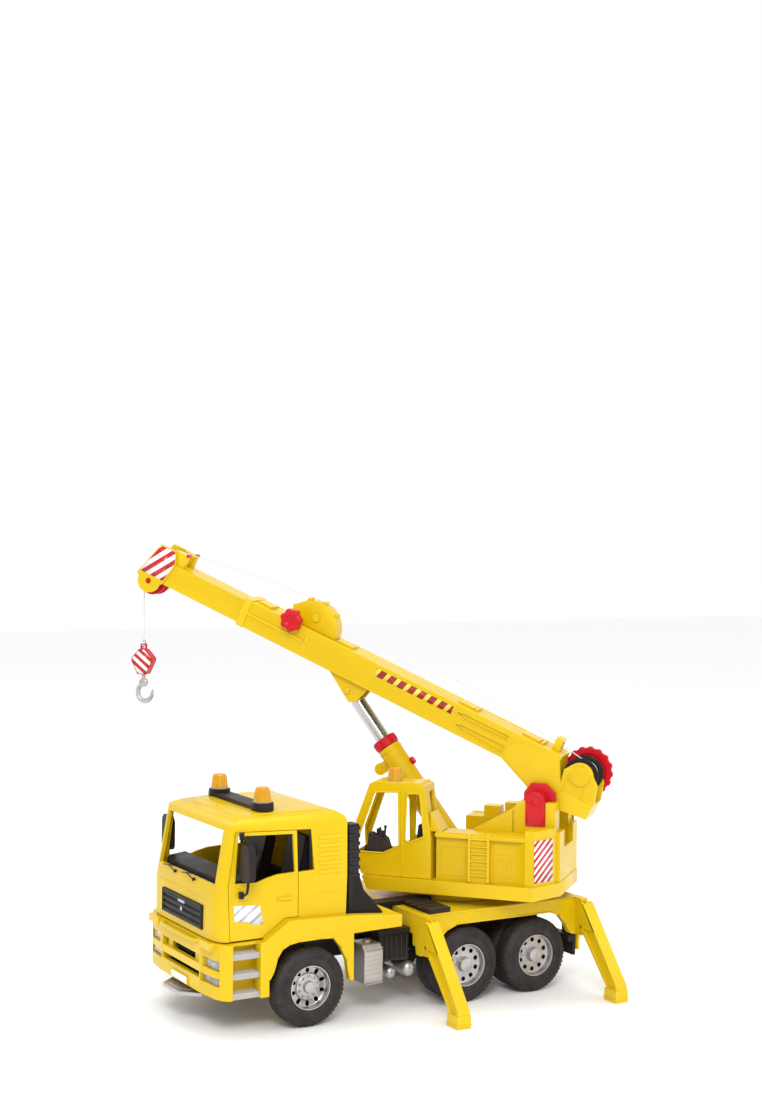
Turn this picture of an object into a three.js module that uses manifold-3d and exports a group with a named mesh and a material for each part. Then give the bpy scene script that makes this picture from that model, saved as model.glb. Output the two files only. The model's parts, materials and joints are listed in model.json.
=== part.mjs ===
// Toy crane truck: a three-axle lorry with a tilting cab, opening doors, four fold-up outrigger legs,
// a slewing superstructure and a two-stage telescopic boom with a winch, a cord and a hook.
// Millimetres. +X is the lorry's front, +Y its left side, +Z up. The lorry is drawn about the point on
// the ground below the middle of its front axle, and the whole object is moved at the end so that the
// origin is under the centre of its box. The rest pose has the superstructure slewed to the right, the
// boom raised and partly run out, and the outriggers down.
import * as THREE from 'three';
import { mergeVertices } from 'three/addons/utils/BufferGeometryUtils.js';
import Module from 'manifold-3d';

const wasm = await Module();
wasm.setup();

// ---- driving dimensions ----
const DEG = Math.PI / 180;
const GAP = 0.3; // between touching pieces
const WHEEL_R = 39.5;
const RIM_R = 22.2;
const AXLE_R = 3;
const BORE_R = 3.6;
const TYRE_OUT = 92.5; // outer face of every tyre
const FRONT_TYRE_IN = 68.5;
const REAR_TYRE_IN = 48.5;
const AXLE_X = { front: 0, middle: -183.8, rear: -271.4 };
const SLEW_X = -230;
const SLEW_ANGLE = -49 * DEG; // rest pose
const LUFF_ANGLE = 23.6 * DEG; // rest pose
const BOOM_PIVOT = { x: -99, z: 205.5 }; // in the superstructure's own axes
const RAM_FOOT = { x: 0, z: 140 };
const RAM_TILT = 36.45 * DEG; // from upright, rest pose
const RAM_LENGTH = 214; // foot pin to head pin, rest pose
const LEG_PIVOT = { y: 106, z: 91 };
const LEG_X = { front: -131, rear: -327 };
const CAB_FLOOR = 92.6; // bottom edge of the cab shell
const DECK_TOP = 97;
const BASE_LOW = 107.5; // bottom edge of the superstructure
const BASE_TOP = 122;
const WINCH = { x: -27, z: 40.6 }; // on the boom's own axes, from its pivot
const SHEAVE = { x: 521.8, z: 18.6 };
const MIRROR_AXIS = { x: 74.2, y: 87 }; // the fold axis, left side
const LATCH = { x: -78.5, y: 50, z: 114.5 };
const KNOB = { x: 337.5, z: 54.5 };
const ROPE_R = 0.6;
const HOOK_X = 386; // cord line, in the superstructure's own axes

// ---- colours and finishes ----
const PAINT = {
  yellow: { color: 0xf5c400, roughness: 0.35, metalness: 0 },
  red: { color: 0xd0102a, roughness: 0.35, metalness: 0 },
  black: { color: 0x1c1a1b, roughness: 0.5, metalness: 0 },
  dark: { color: 0x2c292a, roughness: 0.6, metalness: 0 },
  tyre: { color: 0x262223, roughness: 0.85, metalness: 0 },
  silver: { color: 0xb9b4b2, roughness: 0.4, metalness: 0.3 },
  steel: { color: 0x8f8f92, roughness: 0.3, metalness: 0.9 },
  amber: { color: 0xf08a10, roughness: 0.15, metalness: 0 },
  clear: { color: 0xd8d8d0, roughness: 0.15, metalness: 0 },
  cord: { color: 0xe8e8e4, roughness: 0.8, metalness: 0 },
};

// ---- joining and cutting ----
function triangles(index) {
  const kept = [];
  for (let i = 0; i < index.length; i += 3) {
    const [a, b, c] = [index[i], index[i + 1], index[i + 2]];
    if (a !== b && b !== c && c !== a) kept.push(a, b, c);
  }
  return kept;
}

function solid(geometry) {
  geometry.deleteAttribute('normal');
  geometry.deleteAttribute('uv');
  const welded = mergeVertices(geometry, 1e-4);
  const vertProperties = Float32Array.from(welded.attributes.position.array);
  const order = triangles(welded.index.array);
  const build = (list) => {
    const triVerts = Uint32Array.from(list);
    return new wasm.Manifold(new wasm.Mesh({ numProp: 3, vertProperties, triVerts }));
  };
  const made = build(order);
  return made.volume() > 0 ? made : build(order.reverse());
}

const join = (...bodies) => bodies.flat().reduce((sum, body) => sum.add(body));
const cut = (body, ...tools) => tools.flat().reduce((rest, tool) => rest.subtract(tool), body);
const common = (...bodies) => bodies.reduce((rest, body) => rest.intersect(body));
const both = (make) => [make(1), make(-1)];

function part(name, body, paint) {
  const { vertProperties, triVerts } = body.getMesh();
  const geometry = new THREE.BufferGeometry();
  geometry.setAttribute('position', new THREE.BufferAttribute(vertProperties, 3));
  geometry.setIndex(new THREE.BufferAttribute(triVerts, 1));
  geometry.computeVertexNormals();
  const mesh = new THREE.Mesh(geometry, new THREE.MeshStandardMaterial(paint));
  mesh.name = name;
  return mesh;
}

function group(...children) {
  const made = new THREE.Group();
  made.add(...children.flat());
  return made;
}

// ---- shapes ----
const middle = (a, b) => (a + b) / 2;
const span = (a, b) => Math.abs(b - a);

function block(x0, x1, y0, y1, z0, z1) {
  const box = new THREE.BoxGeometry(span(x0, x1), span(y0, y1), span(z0, z1));
  return solid(box.translate(middle(x0, x1), middle(y0, y1), middle(z0, z1)));
}

function extruded(points, depth) {
  const shape = new THREE.Shape(points.map(([a, b]) => new THREE.Vector2(a, b)));
  return new THREE.ExtrudeGeometry(shape, { depth, bevelEnabled: false });
}

// an outline in X and Z, carried along Y
function sidePlate(points, y0, y1) {
  const made = extruded(points, span(y0, y1)).rotateX(90 * DEG);
  return solid(made.translate(0, Math.max(y0, y1), 0));
}

// an outline in Y and Z, carried along X
function crossPlate(points, x0, x1) {
  const made = extruded(points, span(x0, x1)).rotateX(90 * DEG).rotateZ(90 * DEG);
  return solid(made.translate(Math.min(x0, x1), 0, 0));
}

// an outline in X and Y, carried along Z; lean moves it along X as it rises
function floorPlate(points, z0, z1, lean = 0) {
  const made = extruded(points, z1 - z0).translate(0, 0, z0);
  const shear = new THREE.Matrix4().set(1, 0, lean, -lean * z0, 0, 1, 0, 0, 0, 0, 1, 0, 0, 0, 0, 1);
  return solid(made.applyMatrix4(shear));
}

function rod(axis, from, to, c1, c2, r, sides = 16) {
  const made = new THREE.CylinderGeometry(r, r, span(from, to), sides);
  const m = middle(from, to);
  if (axis === 'x') return solid(made.rotateZ(90 * DEG).translate(m, c1, c2));
  if (axis === 'y') return solid(made.translate(c1, m, c2));
  return solid(made.rotateX(90 * DEG).translate(c1, c2, m));
}

// a profile of [radius, height] pairs turned about Y, or about Z
function turned(profile, sides, upright = false) {
  const points = profile.map(([r, h]) => new THREE.Vector2(r, h));
  const made = new THREE.LatheGeometry(points, sides);
  return upright ? made.rotateX(90 * DEG) : made;
}

function arc(cx, cy, r, from, to, steps) {
  return Array.from({ length: steps + 1 }, (_, i) => {
    const a = (from + ((to - from) * i) / steps) * DEG;
    return [cx + r * Math.cos(a), cy + r * Math.sin(a)];
  });
}

const mirrored = (points) => points.map(([a, b]) => [-a, b]).reverse();
const sided = (points, s) => (s > 0 ? points : mirrored(points));

function tube(points, r, steps, sides = 8) {
  const path = new THREE.CatmullRomCurve3(points.map((p) => new THREE.Vector3(...p)), false, 'centripetal');
  const ring = new THREE.Shape(arc(0, 0, r, 0, 360, sides).slice(0,
    sides).map((p) => new THREE.Vector2(...p)));
  return solid(new THREE.ExtrudeGeometry(ring, { steps, extrudePath: path, bevelEnabled: false }));
}

// ---- wheels ----
const FRONT_RIM = [[AXLE_R, 69.5], [RIM_R, 69.5], [RIM_R, 92.2], [20.6, 92.2], [18, 85], [13.5, 85],
  [12.8, 86.8], [6.5, 86.8], [5.5, 90.5], [0, 90.5]];
const REAR_RIM = [[AXLE_R, 49.5], [RIM_R, 49.5], [RIM_R, 92.2], [20.6, 92.2], [19.4, 80], [10, 80],
  [9, 81], [8.6, 89.5], [7, 91], [0, 91]];

function wheelset(name, x, half) {
  const left = half.map(([r, y]) => [r, -y]).reverse();
  const body = solid(turned([...left, ...half], 20).translate(x, 0, WHEEL_R));
  return part(name, body, PAINT.silver);
}

function tyre(name, x, side, inner, grooved) {
  const centre = middle(inner, TYRE_OUT);
  const tread = [[WHEEL_R, inner + 4], [WHEEL_R, TYRE_OUT - 4]];
  if (grooved) tread.splice(1, 0, [WHEEL_R, centre - 3], [34, centre - 2], [34, centre + 2],
    [WHEEL_R, centre + 3]);
  const bore = RIM_R + 2 * GAP;
  const ring = [[bore, inner], [36, inner], ...tread, [36, TYRE_OUT], [bore, TYRE_OUT], [bore, inner]];
  const body = turned(ring.map(([r, y]) => [r, y * side]), 24).translate(x, 0, WHEEL_R);
  return part(name, solid(body), PAINT.tyre);
}

function axle(name, x, half, inner, grooved) {
  const tyres = [['left', 1], ['right', -1]];
  return [wheelset(`${name}_wheelset`, x, half),
    ...tyres.map(([side, s]) => tyre(`${name}_tyre_${side}`, x, s, inner, grooved))];
}

// ---- chassis ----
function chassisFrame() {
  const axles = Object.values(AXLE_X);
  const rails = both((s) => block(-318, 88, s * 20, s * 28, 50, 70));
  const ties = [80, 62, -32, -100, -150, -215, -312].map((x) => block(x - 4, x + 4, -21, 21, 52, 66));
  const hangers = axles.flatMap((x) => both((s) => block(x - 7, x + 7, s * 20.2, s * 27.8, 33, 51)));
  const bores = axles.map((x) => rod('y', -30, 30, x, WHEEL_R, BORE_R));
  const rearBar = block(-324, -317, -88, 88, 48, 55);
  const flaps = both((s) => block(-326.4, -323, s * 48, s * 88, 33, 55));
  const towPlate = floorPlate([[110, -20], [110, 20], [92, 36], [84, 20], [60, 18], [60, -18], [84, -20],
    [92, -36]],
    29.5, 32.5);
  const towPost = block(60, 68, -24, 24, 31, 52);
  return part('chassis_frame', cut(join(rails, ties, hangers, rearBar, flaps, towPlate, towPost), bores),
    PAINT.black);
}

function legLug(x, s) {
  const arm = block(x - 1.7, x + 1.7, s * 98, s * LEG_PIVOT.y, LEG_PIVOT.z - 3.5, LEG_PIVOT.z + 3.5);
  const eye = rod('x', x - 1.7, x + 1.7, s * LEG_PIVOT.y, LEG_PIVOT.z, 3.5);
  const hole = rod('x', x - 3, x + 3, s * LEG_PIVOT.y, LEG_PIVOT.z, 1.9, 12);
  return cut(join(arm, eye), hole);
}

const DECK_SIDE = [[-127.5, 97], [-323.4, 97], [-323.4, 56.5], [-316.7, 58], [-311, 68], [-303, 78],
  [-291, 83], [-172, 83], [-158, 77.5], [-147.7, 69], [-141, 62], [-139, 55.3], [-127.5, 55.3]];
const BULKHEAD = [[42.5, 97], [91, 97], [91, 55.3], [81.7, 55.5], [79.8, 63.4], [75.3, 63.8], [74.2, 75.6],
  [49.8, 76], [42.5, 73.6]];

function rearDeck() {
  const plate = block(-330, -127.5, -91, 91, 92, DECK_TOP);
  const sides = both((s) => sidePlate(DECK_SIDE, s * 84, s * 91));
  const bulkheads = both((s) => crossPlate(sided(BULKHEAD, s), -131, -127.5));
  const saddles = both((s) => block(-318, -131, s * 20, s * 30, 70 + GAP, 93));
  const tail = block(-330, -327, -91, 91, 76, DECK_TOP);
  const posts = both((s) => block(-330, -327, s * 62, s * 91, 39, 80));
  const fronts = both((s) => block(-136.2, -127.5, s * 88, s * 102.4, 57, DECK_TOP));
  const rears = both((s) => block(-331.5, -323, s * 84, s * 102.4, 57, DECK_TOP));
  const lugs = Object.values(LEG_X).flatMap((x) => both((s) => legLug(x, s)));
  return part('rear_deck', join(plate, sides, bulkheads, saddles, tail, posts, fronts, rears, lugs),
    PAINT.yellow);
}

// the leg's shank, its foot and the pin that turns in the housing's lug
function outrigger(name, x, s) {
  const { y, z } = LEG_PIVOT;
  const shank = [...arc(y, z, 3, 90, 180, 3), [103, 67.5], [151, 14], [149.5, 12], [168.5, 12], [168.5, 17],
    [109.4, 93.4]];
  const leg = crossPlate(sided(shank, s), x - 7, x + 7);
  const foot = block(x - 8, x + 8, s * 149, s * 169, 0, 13);
  const slot = rod('x', x - 2.2, x + 2.2, s * y, z, 6.6, 20);
  const pin = rod('x', x - 3, x + 3, s * y, z, 1.4, 12);
  return part(name, join(cut(join(leg, foot), slot), pin), PAINT.yellow);
}

// ---- front of the lorry, below the cab ----
const FENDER = [[55.5, 37], [46, 37], [46, 52.7], [42.6, 57.5], [40.2, 62.8], [37.2, 73.3], [31.8, 81.3],
  [23.7, 85.3], [13.5, 86.9], [-25.8, 86.5], [-34.3, 75.8], [-40.8, 62.1], [-44.2, 41.5], [-48, 41.2],
  [-48, 88.6], [-104, 89.5], [-104, 101.5], [-50, 106.7], [24, 108.7], [50, 91.6], [55.5, 90]];
const BUMPER_HALF = [[100, 0], [100, 48], [97.5, 78], [94, 87], [88.4, 92.4], [85, 92.4], [85, 87.4],
  [90, 84], [92.5, 76], [94.5, 48], [94.5, 0]];
const LAMP_ROWS = [[53, 83.4, 65, 75], [48, 83.6, 50, 58]];

function bumper() {
  const half = (s) => floorPlate(BUMPER_HALF.map(([x, y]) => [x, y * s]), 37.6, 91.4);
  const slots = [[65.5, 74.5], [51.5, 58]].map(([low, high]) => block(90, 103, -46, 46, low, high));
  const lampHoles = both((s) => LAMP_ROWS.map(([y0, y1, z0, z1]) => block(85.5, 103, s * y0, s * y1, z0,
    z1))).flat();
  const plate = block(99, 101.5, -20, 20, 38.4, 46.4);
  return join(cut(join(both(half)), slots, lampHoles), plate);
}

function steps(s) {
  const treads = [81, 62, 43].map((top) => block(55, 86, s * 76, s * 89.5, top - 5.5, top));
  const well = block(46, 84, s * 73.5, s * 77, 37.6, 91);
  const cheek = block(46, 55.5, s * 74, s * 85, 37.6, 91);
  return join(treads, well, cheek);
}

function lowerBodyFront() {
  const tray = block(-50, 95, -84.5, 84.5, 88.2, 91.2);
  const bands = both((s) => block(-104, -43.6, s * 42, s * 85, 89.5, 101.5));
  const fenders = both((s) => sidePlate(FENDER, s * 84.3, s * 92.5));
  const ledges = both((s) => block(97, 103, s * 52, s * 76, 84, 91.4));
  const mounts = both((s) => block(70, 96, s * (28 + GAP), s * 40, 60, 89));
  const ears = both((s) => block(-84, -73, LATCH.y + s * 5.3, LATCH.y + s * 8.3, 101, 119));
  const pinHole = rod('y', LATCH.y - 12, LATCH.y + 12, LATCH.x, LATCH.z, 1.9, 12);
  const all = join(bumper(), tray, bands, fenders, ledges, mounts, ears, both(steps));
  return part('lower_body_front', cut(all, pinHole), PAINT.yellow);
}

function headlight(name, s) {
  const lamps = LAMP_ROWS.map(([y0, y1, z0, z1]) => {
    const face = [[87, y0 + GAP], [95.8, y0 + GAP], [95.2, 78], [91.5, y1 - GAP], [87, y1 - GAP]];
    return floorPlate(face.map(([x, y]) => [x, y * s]), z0 + GAP, z1 - GAP);
  });
  const back = block(86.3, 88.4, s * 53.3, s * 83, 50.3, 74.7);
  return part(name, join(lamps, back), PAINT.clear);
}

function latchLever() {
  const { x, y, z } = LATCH;
  const arm = sidePlate([[-82, 112.5], [-76, 111.5], [-56, 138], [-61, 141.5]], y - 3.5, y + 3.5);
  const boss = rod('y', y - 5, y + 5, x, z, 4, 12);
  const pin = rod('y', y - 8.6, y + 8.6, x, z, 1.5, 12);
  return part('cab_latch', join(arm, boss, pin), PAINT.red);
}

function engineBlock() {
  const crankcase = block(-24, 54, -18, 18, 60, 84);
  const head = block(-18, 48, -11, 11, 84, 87.5);
  const gearbox = block(-28 + GAP, -22, -12, 12, 62, 80);
  return part('engine_block', join(crankcase, head, gearbox), PAINT.dark);
}

function walkwayPlate() {
  const plan = [[-97.5, 20], [-97.5, 38], [-138, 38], [-138.2, 90.9], [-165, 88.5], [-165, 40],
    [-174.2, 36.5], [-174.2, 29], [-160, 20]];
  const over = floorPlate(plan, DECK_TOP + GAP, 102);
  const ahead = block(-124, -97.5, 20, 38, 89, 98);
  return part('walkway_plate', join(over, ahead), PAINT.black);
}

function intakeStack() {
  const riser = block(-60, -49, 64, 80, 136, 195.5);
  const rings = [142, 150, 158, 166, 174, 182, 190].map((z) => block(-61, -48, 63, 81, z, z + 3.5));
  const foot = [[-49, 101.8], [-49, 146], [-60, 146], [-66, 128], [-88, 104], [-88, 101.8]];
  return part('intake_stack', join(riser, rings, sidePlate(foot, 64, 80)), PAINT.black);
}

function fuelTank(name, s) {
  const section = [[58, 33], [85, 33], [88, 36], [88, 66], [82, 73], [60, 73], [58, 70]];
  const tank = crossPlate(sided(section, s), -85, -63);
  const strap = crossPlate(sided([[28.3, 52], [59, 52], [59, 60], [28.3, 60]], s), -78, -70);
  return part(name, join(tank, strap), PAINT.silver);
}

function batteryBox() {
  const box = block(-124.5, -88.5, 42, 72, 49, 80);
  const lid = block(-125.5, -87.5, 41, 73, 77, 82);
  const arm = block(-112, -102, 28 + GAP, 43, 54, 64);
  return part('battery_box', join(box, lid, arm), PAINT.black);
}

function airTanks() {
  const bottle = (x, z, r, end) => {
    const dome = [[0, end - 44], [r, end - 38], [r, end - 5], [r * 0.75, end - 1.5], [0, end]];
    return solid(turned(dome, 16).translate(x, 0, z));
  };
  const bridge = block(-125, -104, 46, 52, 37, 41);
  const hanger = block(-114, -106, 44, 54, 38, 48.6);
  return part('air_tanks', join(bottle(-104, 37, 6, 74), bottle(-125.5, 38.5, 8, 76), bridge, hanger),
    PAINT.silver);
}

function turntableRing() {
  const disc = rod('z', DECK_TOP + GAP, BASE_LOW - GAP, SLEW_X, 0, 60, 32);
  const kingPin = rod('z', 100, 126, SLEW_X, 0, 8, 20);
  const pinHead = rod('z', BASE_TOP + GAP, 126, SLEW_X, 0, 13, 20);
  return part('turntable_ring', join(disc, kingPin, pinHead), PAINT.yellow);
}

// ---- cab ----
const ROOF_SIDE = [[85.2, 196], [84, 200.4], [81.4, 203.8], [76.5, 206.4], [68, 209], [56, 211.4],
  [40, 213.2], [20, 214], [-10, 213.6], [-28, 212], [-38, 209.2], [-43.6, 205.4], [-46, 200.5]];
const CAB_SIDE = [[98, CAB_FLOOR], [97.5, 131.5], [94.5, 144.7], ...ROOF_SIDE, [-43, 105], [-43, CAB_FLOOR]];
const ROOF_SIDE_IN = [[82.2, 195.4], [81, 198.6], [78.8, 200.8], [75, 203], [67, 205.7], [55, 208.2],
  [39.6, 210], [20, 210.8], [-10, 210.4], [-27, 208.9], [-36, 206.4], [-41, 203.2], [-42.8, 198.5]];
const CAB_SIDE_IN = [[94.5, 80], [94.4, 131], [91.4, 144], ...ROOF_SIDE_IN, [-39.8, 105], [-39.8, 80]];
const ROOF_FRONT = [[0.4, 200.4], [-0.8, 203.6], [-3.6, 206.6], [-8.6, 209.2], [-16, 211.2], [-28, 212.6],
  [-50, 213.6], [-80, 214]]; // steps in from the roof's half width, and heights
const ROOF_SHEET = 3.2;
const CAB_LEAN = -0.182; // the windscreen's slope
const CAB_WAIST = 131.5;
const DOOR = [[84.3, CAB_FLOOR + 0.4], [86.3, 131], [86, 147], [77.3, 197.6], [11, 194.8], [11, 109.9],
  [25.5, 109.9], [50.5, CAB_FLOOR + 0.4]];
const DOOR_WINDOW = [[79.5, 148.5], [75, 194], [15.2, 191.6], [14.4, 154.3], [34, 153.4], [45, 151],
  [56, 147.6]];
const SIDE_OPENING = [[84.9, 80], [84.9, 93], [86.9, 131], [86.6, 147], [77.9, 198.2], [-4.6, 194.8],
  [-7.5, 154.5], [10.4, 153.8], [10.4, 109.3], [25.3, 109.3], [50, CAB_FLOOR], [50, 80]];

function cabForm(side, halfWidth, roofHalf, plan, drop = 0) {
  const right = ROOF_FRONT.map(([step, z]) => [Math.max(0, roofHalf + step), z - drop]);
  const half = [[halfWidth, 70], [halfWidth, 147], ...right];
  const front = [...half, ...half.slice(0, -1).reverse().map(([y, z]) => [-y, z])];
  const lower = floorPlate(plan, 70, CAB_WAIST);
  const upper = floorPlate(plan.map(([x, y]) => [x < 0 ? x - 40 : x, y]), CAB_WAIST, 216, CAB_LEAN);
  return common(sidePlate(side, -90, 90), crossPlate(front, -60, 110), join(lower, upper));
}

const CAB_CORNER = [[0, 24], [-0.7, 17], [-2, 11], [-4.4, 5.6], [-7.4, 1.9], [-11, 0]]; // back, in
const planOf = (nose, half) => {
  const left = [...CAB_CORNER.map(([back, inward]) => [nose + back, half - inward]), [-50, half]];
  return [...left, ...[...left].reverse().map(([x, y]) => [x, -y])];
};
const cabOuter = () => cabForm(CAB_SIDE, 84, 80, planOf(98, 84));
const cabInner = () => cabForm(CAB_SIDE_IN, 81, 77, planOf(94.6, 81), ROOF_SHEET);
const cabSkin = () => cut(cabOuter(), cabInner());

function cabShell() {
  const windscreen = crossPlate([[-68.6, 146], [68.6, 146], [67, 198.5], [-67, 198.5]], 72, 102);
  const sides = both((s) => sidePlate(SIDE_OPENING, s * 70, s * 90));
  const grilleSeat = block(90, 102, -50, 50, 99, 123.5);
  return part('cab_shell', cut(cabSkin(), windscreen, sides, grilleSeat), PAINT.yellow);
}

function door(name, s) {
  const panel = common(sidePlate(DOOR, s * 70, s * 90), cabSkin());
  const window = sidePlate(DOOR_WINDOW, s * 70, s * 90);
  return part(name, cut(panel, window), PAINT.yellow);
}

function mirror(name, s) {
  const route = [[74.2, 87, 195], [73.6, 92, 194.2], [72.5, 97, 189], [72.5, 97.5, 170], [72.5, 97.5, 146],
    [73, 95, 139.5], [74.2, 87, 138]];
  const arm = tube(route.map(([x, y, z]) => [x, y * s, z]), 1.4, 14);
  const head = crossPlate(sided([[88, 156], [91, 152], [105, 153], [108, 158], [107, 184], [103, 188.5],
    [92, 187], [88, 182]], s), 69, 76);
  const feet = [192, 134.5].map((z) => rod('z', z, z + 6.5, MIRROR_AXIS.x, s * MIRROR_AXIS.y, 2.6, 12));
  return part(name, join(arm, head, feet), PAINT.black);
}

const INTERIOR_PLAN = [[89.5, -60], [89.5, 60], [85.5, 70], [79, 77.5], [-39, 77.5], [-39, -77.5],
  [79, -77.5], [85.5, -70]];

function cabInterior() {
  const floor = floorPlate(INTERIOR_PLAN, CAB_FLOOR + 0.2, 96);
  const dashSide = [[89.5, 118], [89.5, 142], [86, 149], [62, 152], [56, 146], [60, 128], [66, 95],
    [89.5, 95]];
  const dash = common(sidePlate(dashSide, -79, 79), floorPlate(INTERIOR_PLAN, 90, 160));
  const seat = (s) => join(block(-8, 30, s * 22, s * 62, 96, 122), block(-30, -8, s * 22, s * 62, 96, 108),
    sidePlate([[-8, 120], [6, 120], [-6, 168], [-9, 184], [-16, 184], [-18, 168]], s * 24, s * 60));
  const wheel = sidePlate([[52, 138], [55, 136], [45, 168], [42, 170]], 28, 62);
  const column = sidePlate([[58, 134], [64, 142], [48, 157], [46, 151]], 42, 48);
  const bunk = block(-39, -30.5, -77, 77, 95, 130);
  return part('cab_interior', join(floor, dash, both(seat), wheel, column, bunk), PAINT.black);
}

function grille() {
  const frame = block(92, 99.4, -50 + GAP, 50 - GAP, 99 + GAP, 123.5 - GAP);
  const grooves = [103.5, 109.5, 115.5].map((z) => block(98, 101, -46, 46, z, z + 2.4));
  return part('grille', cut(frame, grooves), PAINT.black);
}

const BEACON = { x: 34.8, y: 51, low: 220.3, top: 235.4 };

function lightBar() {
  const bar = block(25.5, 44.5, -58, 58, 209, 217);
  const cups = both((s) => rod('z', 209, 220, BEACON.x, s * BEACON.y, 11.4, 20));
  const roof = cabOuter().translate([0, 0, GAP]);
  return part('light_bar', cut(join(bar, cups), roof), PAINT.black);
}

function beacon(name, x, y, low, top, r) {
  const lens = [[0, low], [r, low], [r * 0.86, top - 3], [r * 0.7, top - 0.6], [0, top]];
  return part(name, solid(turned(lens, 20, true).translate(x, y, 0)), PAINT.amber);
}

// ---- superstructure, drawn about its slewing axis ----
const BASE_PLAN = [[83, -81.4], [83, 81.4], [-104, 81.4], [-125.5, 41], [-125.5, -41], [-104, -81.4]];
const BASE_PLAN_IN = [[69, -77.9], [69, 77.9], [-102, 77.9], [-122, 39.5], [-122, -39.5], [-102, -77.9]];
const FLANK = [[3, 42], [3, 71], [-34, 71], [-34, 76], [-57, 76], [-57, 71], [-85, 71], [-95, 76.4],
  [-104, 76.4], [-119, 49], [-121, 42]];
const FLANK_IN = [[0, 45], [0, 68], [-88, 68], [-96, 73.4], [-102.4, 73.4], [-116.4, 48], [-117.6, 45]];
const flankPlan = (points, s) => points.map(([x, y]) => [x, y * s]);
const TOWER_TOP = 205;

function flank(s) {
  const walls = floorPlate(flankPlan(FLANK, s), BASE_TOP - 1, 170);
  const lip = block(-97, 3, s * 42, s * 77, 168, 172);
  const column = floorPlate(flankPlan([[-95, 42], [-95, 77], [-104.4, 77], [-119.6, 49.4], [-121, 42]],
    s), 121, 180);
  const room = floorPlate(flankPlan(FLANK_IN, s), 100, 167);
  return cut(join(walls, lip, column), room);
}

function tower(s) {
  const { x, z } = BOOM_PIVOT;
  const box = sidePlate([[-75, 121], [-75, 200], [-79, TOWER_TOP], [-119, TOWER_TOP], [-119, 121]],
    s * 22, s * 42.5);
  const cheek = sidePlate([[x + 9, 200], ...arc(x, z, 9, 0, 180, 8), [x - 9, 200]], s * 22, s * 25);
  const slot = block(-108.4, -86.6, s * 28.3, s * 50, 180, 210);
  const hole = rod('y', s * 20, s * 40, x, z, 4.4, 16);
  const brace = sidePlate([[-27, 171], [-75.5, 199], [-75.5, 171]], s * 32, s * 43);
  return join(cut(join(cut(box, slot), cheek), hole), brace);
}

function ramFootLugs() {
  const { x, z } = RAM_FOOT;
  const lug = [[x + 15, 121], ...arc(x, z, 8, 0, 180, 6), [x - 15, 121]];
  const lugs = both((s) => sidePlate(lug, s * 14.4, s * 19));
  return join(lugs, rod('y', -17, 17, x, z, 4, 16));
}

function superstructureBase() {
  const slab = floorPlate(BASE_PLAN, BASE_LOW, BASE_TOP);
  const noseCut = sidePlate([[73.5, 100], [83.5, 121], [95, 121], [95, 100]], -90, 90);
  const pocket = floorPlate(BASE_PLAN_IN, 100, 118.5);
  const hub = rod('z', BASE_LOW, 120, 0, 0, 30, 32);
  const hubBore = rod('z', 100, 130, 0, 0, 8.7, 24);
  const backWings = both((s) => block(-124.5, -119, s * 21, s * 42, 121, 175));
  const backWall = block(-124.5, -121, -22, 22, 121, 156);
  const farBoxes = [block(-36, -17, -62, -46, 171, 184), block(-58, -41, -62, -46, 171, 188.5)];
  const farHood = block(8, 66, -74, -32, 121, 138);
  const shell = join(cut(slab, noseCut, pocket), hub, both(flank), both(tower), backWings, backWall,
    farBoxes, farHood);
  const clearings = both((s) => join(floorPlate(flankPlan(FLANK_IN, s), 100, 160),
    block(-116, -78, s * 25, s * 39, 100, 174)));
  return part('superstructure_base', join(cut(shell, hubBore, clearings), ramFootLugs()), PAINT.yellow);
}

const CRANE_CAB = [[84.8, BASE_TOP + GAP], [95.2, 138.7], [96.5, 167], [77, 220.3], [72, 222], [19, 222],
  [15.3, 220.3], [7.8, 166.3], [7.4, BASE_TOP + GAP]];
const CRANE_CAB_IN = [[82.6, 110], [92.6, 139.6], [93.8, 166.6], [74.7, 218], [72, 219.3], [20, 219.3],
  [17.9, 218], [10.5, 166.3], [10.1, 110]];
const CRANE_WINDOWS = [
  [[71.4, 211.5], [44.2, 213], [43, 155.3], [60.7, 146.5], [89.1, 146.4], [91.7, 152], [87.8, 165.3]],
  [[35, 211.7], [20.2, 212.6], [15.3, 166.8], [32, 159.4], [36.7, 162.5]],
];

function craneCab() {
  const outer = common(sidePlate(CRANE_CAB, 20, 76), floorPlate([[100, 29], [100, 76], [-10, 76],
    [-10, 43], [7, 42]],
    110, 230));
  const inner = common(sidePlate(CRANE_CAB_IN, 20, 73.4), floorPlate([[100, 32], [100, 76], [0, 76],
    [0, 45]], 105, 230));
  const windows = CRANE_WINDOWS.map((points) => sidePlate(points, 20, 90));
  const screen = crossPlate([[35, 146], [71, 146], [71, 213], [37, 213]], 60, 110);
  const rearSlot = block(0, 18, 47, 62, 187, 213);
  const fairing = sidePlate([[10, 192], [-2, BASE_TOP + 50.6], [9, BASE_TOP + 50.6]], 43, 72);
  const shell = cut(outer, inner, windows, screen, rearSlot);
  return part('crane_cab', join(shell, cut(fairing, inner)), PAINT.yellow);
}

function craneCabInterior() {
  const floor = block(11, 81, 47, 72.6, BASE_TOP + GAP, 125);
  const seat = join(block(24, 48, 48, 70, 125, 146), sidePlate([[20, 125], [30, 125], [24, 178],
    [17, 178]], 49, 69));
  const console = sidePlate([[62, 125], [80, 125], [86, 140], [84, 152], [70, 158], [66, 150]], 48, 70);
  const levers = [54, 62].map((y) => rod('z', 150, 170, 72, y, 1.4, 8));
  return part('crane_cab_interior', join(floor, seat, console, levers), PAINT.black);
}

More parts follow.
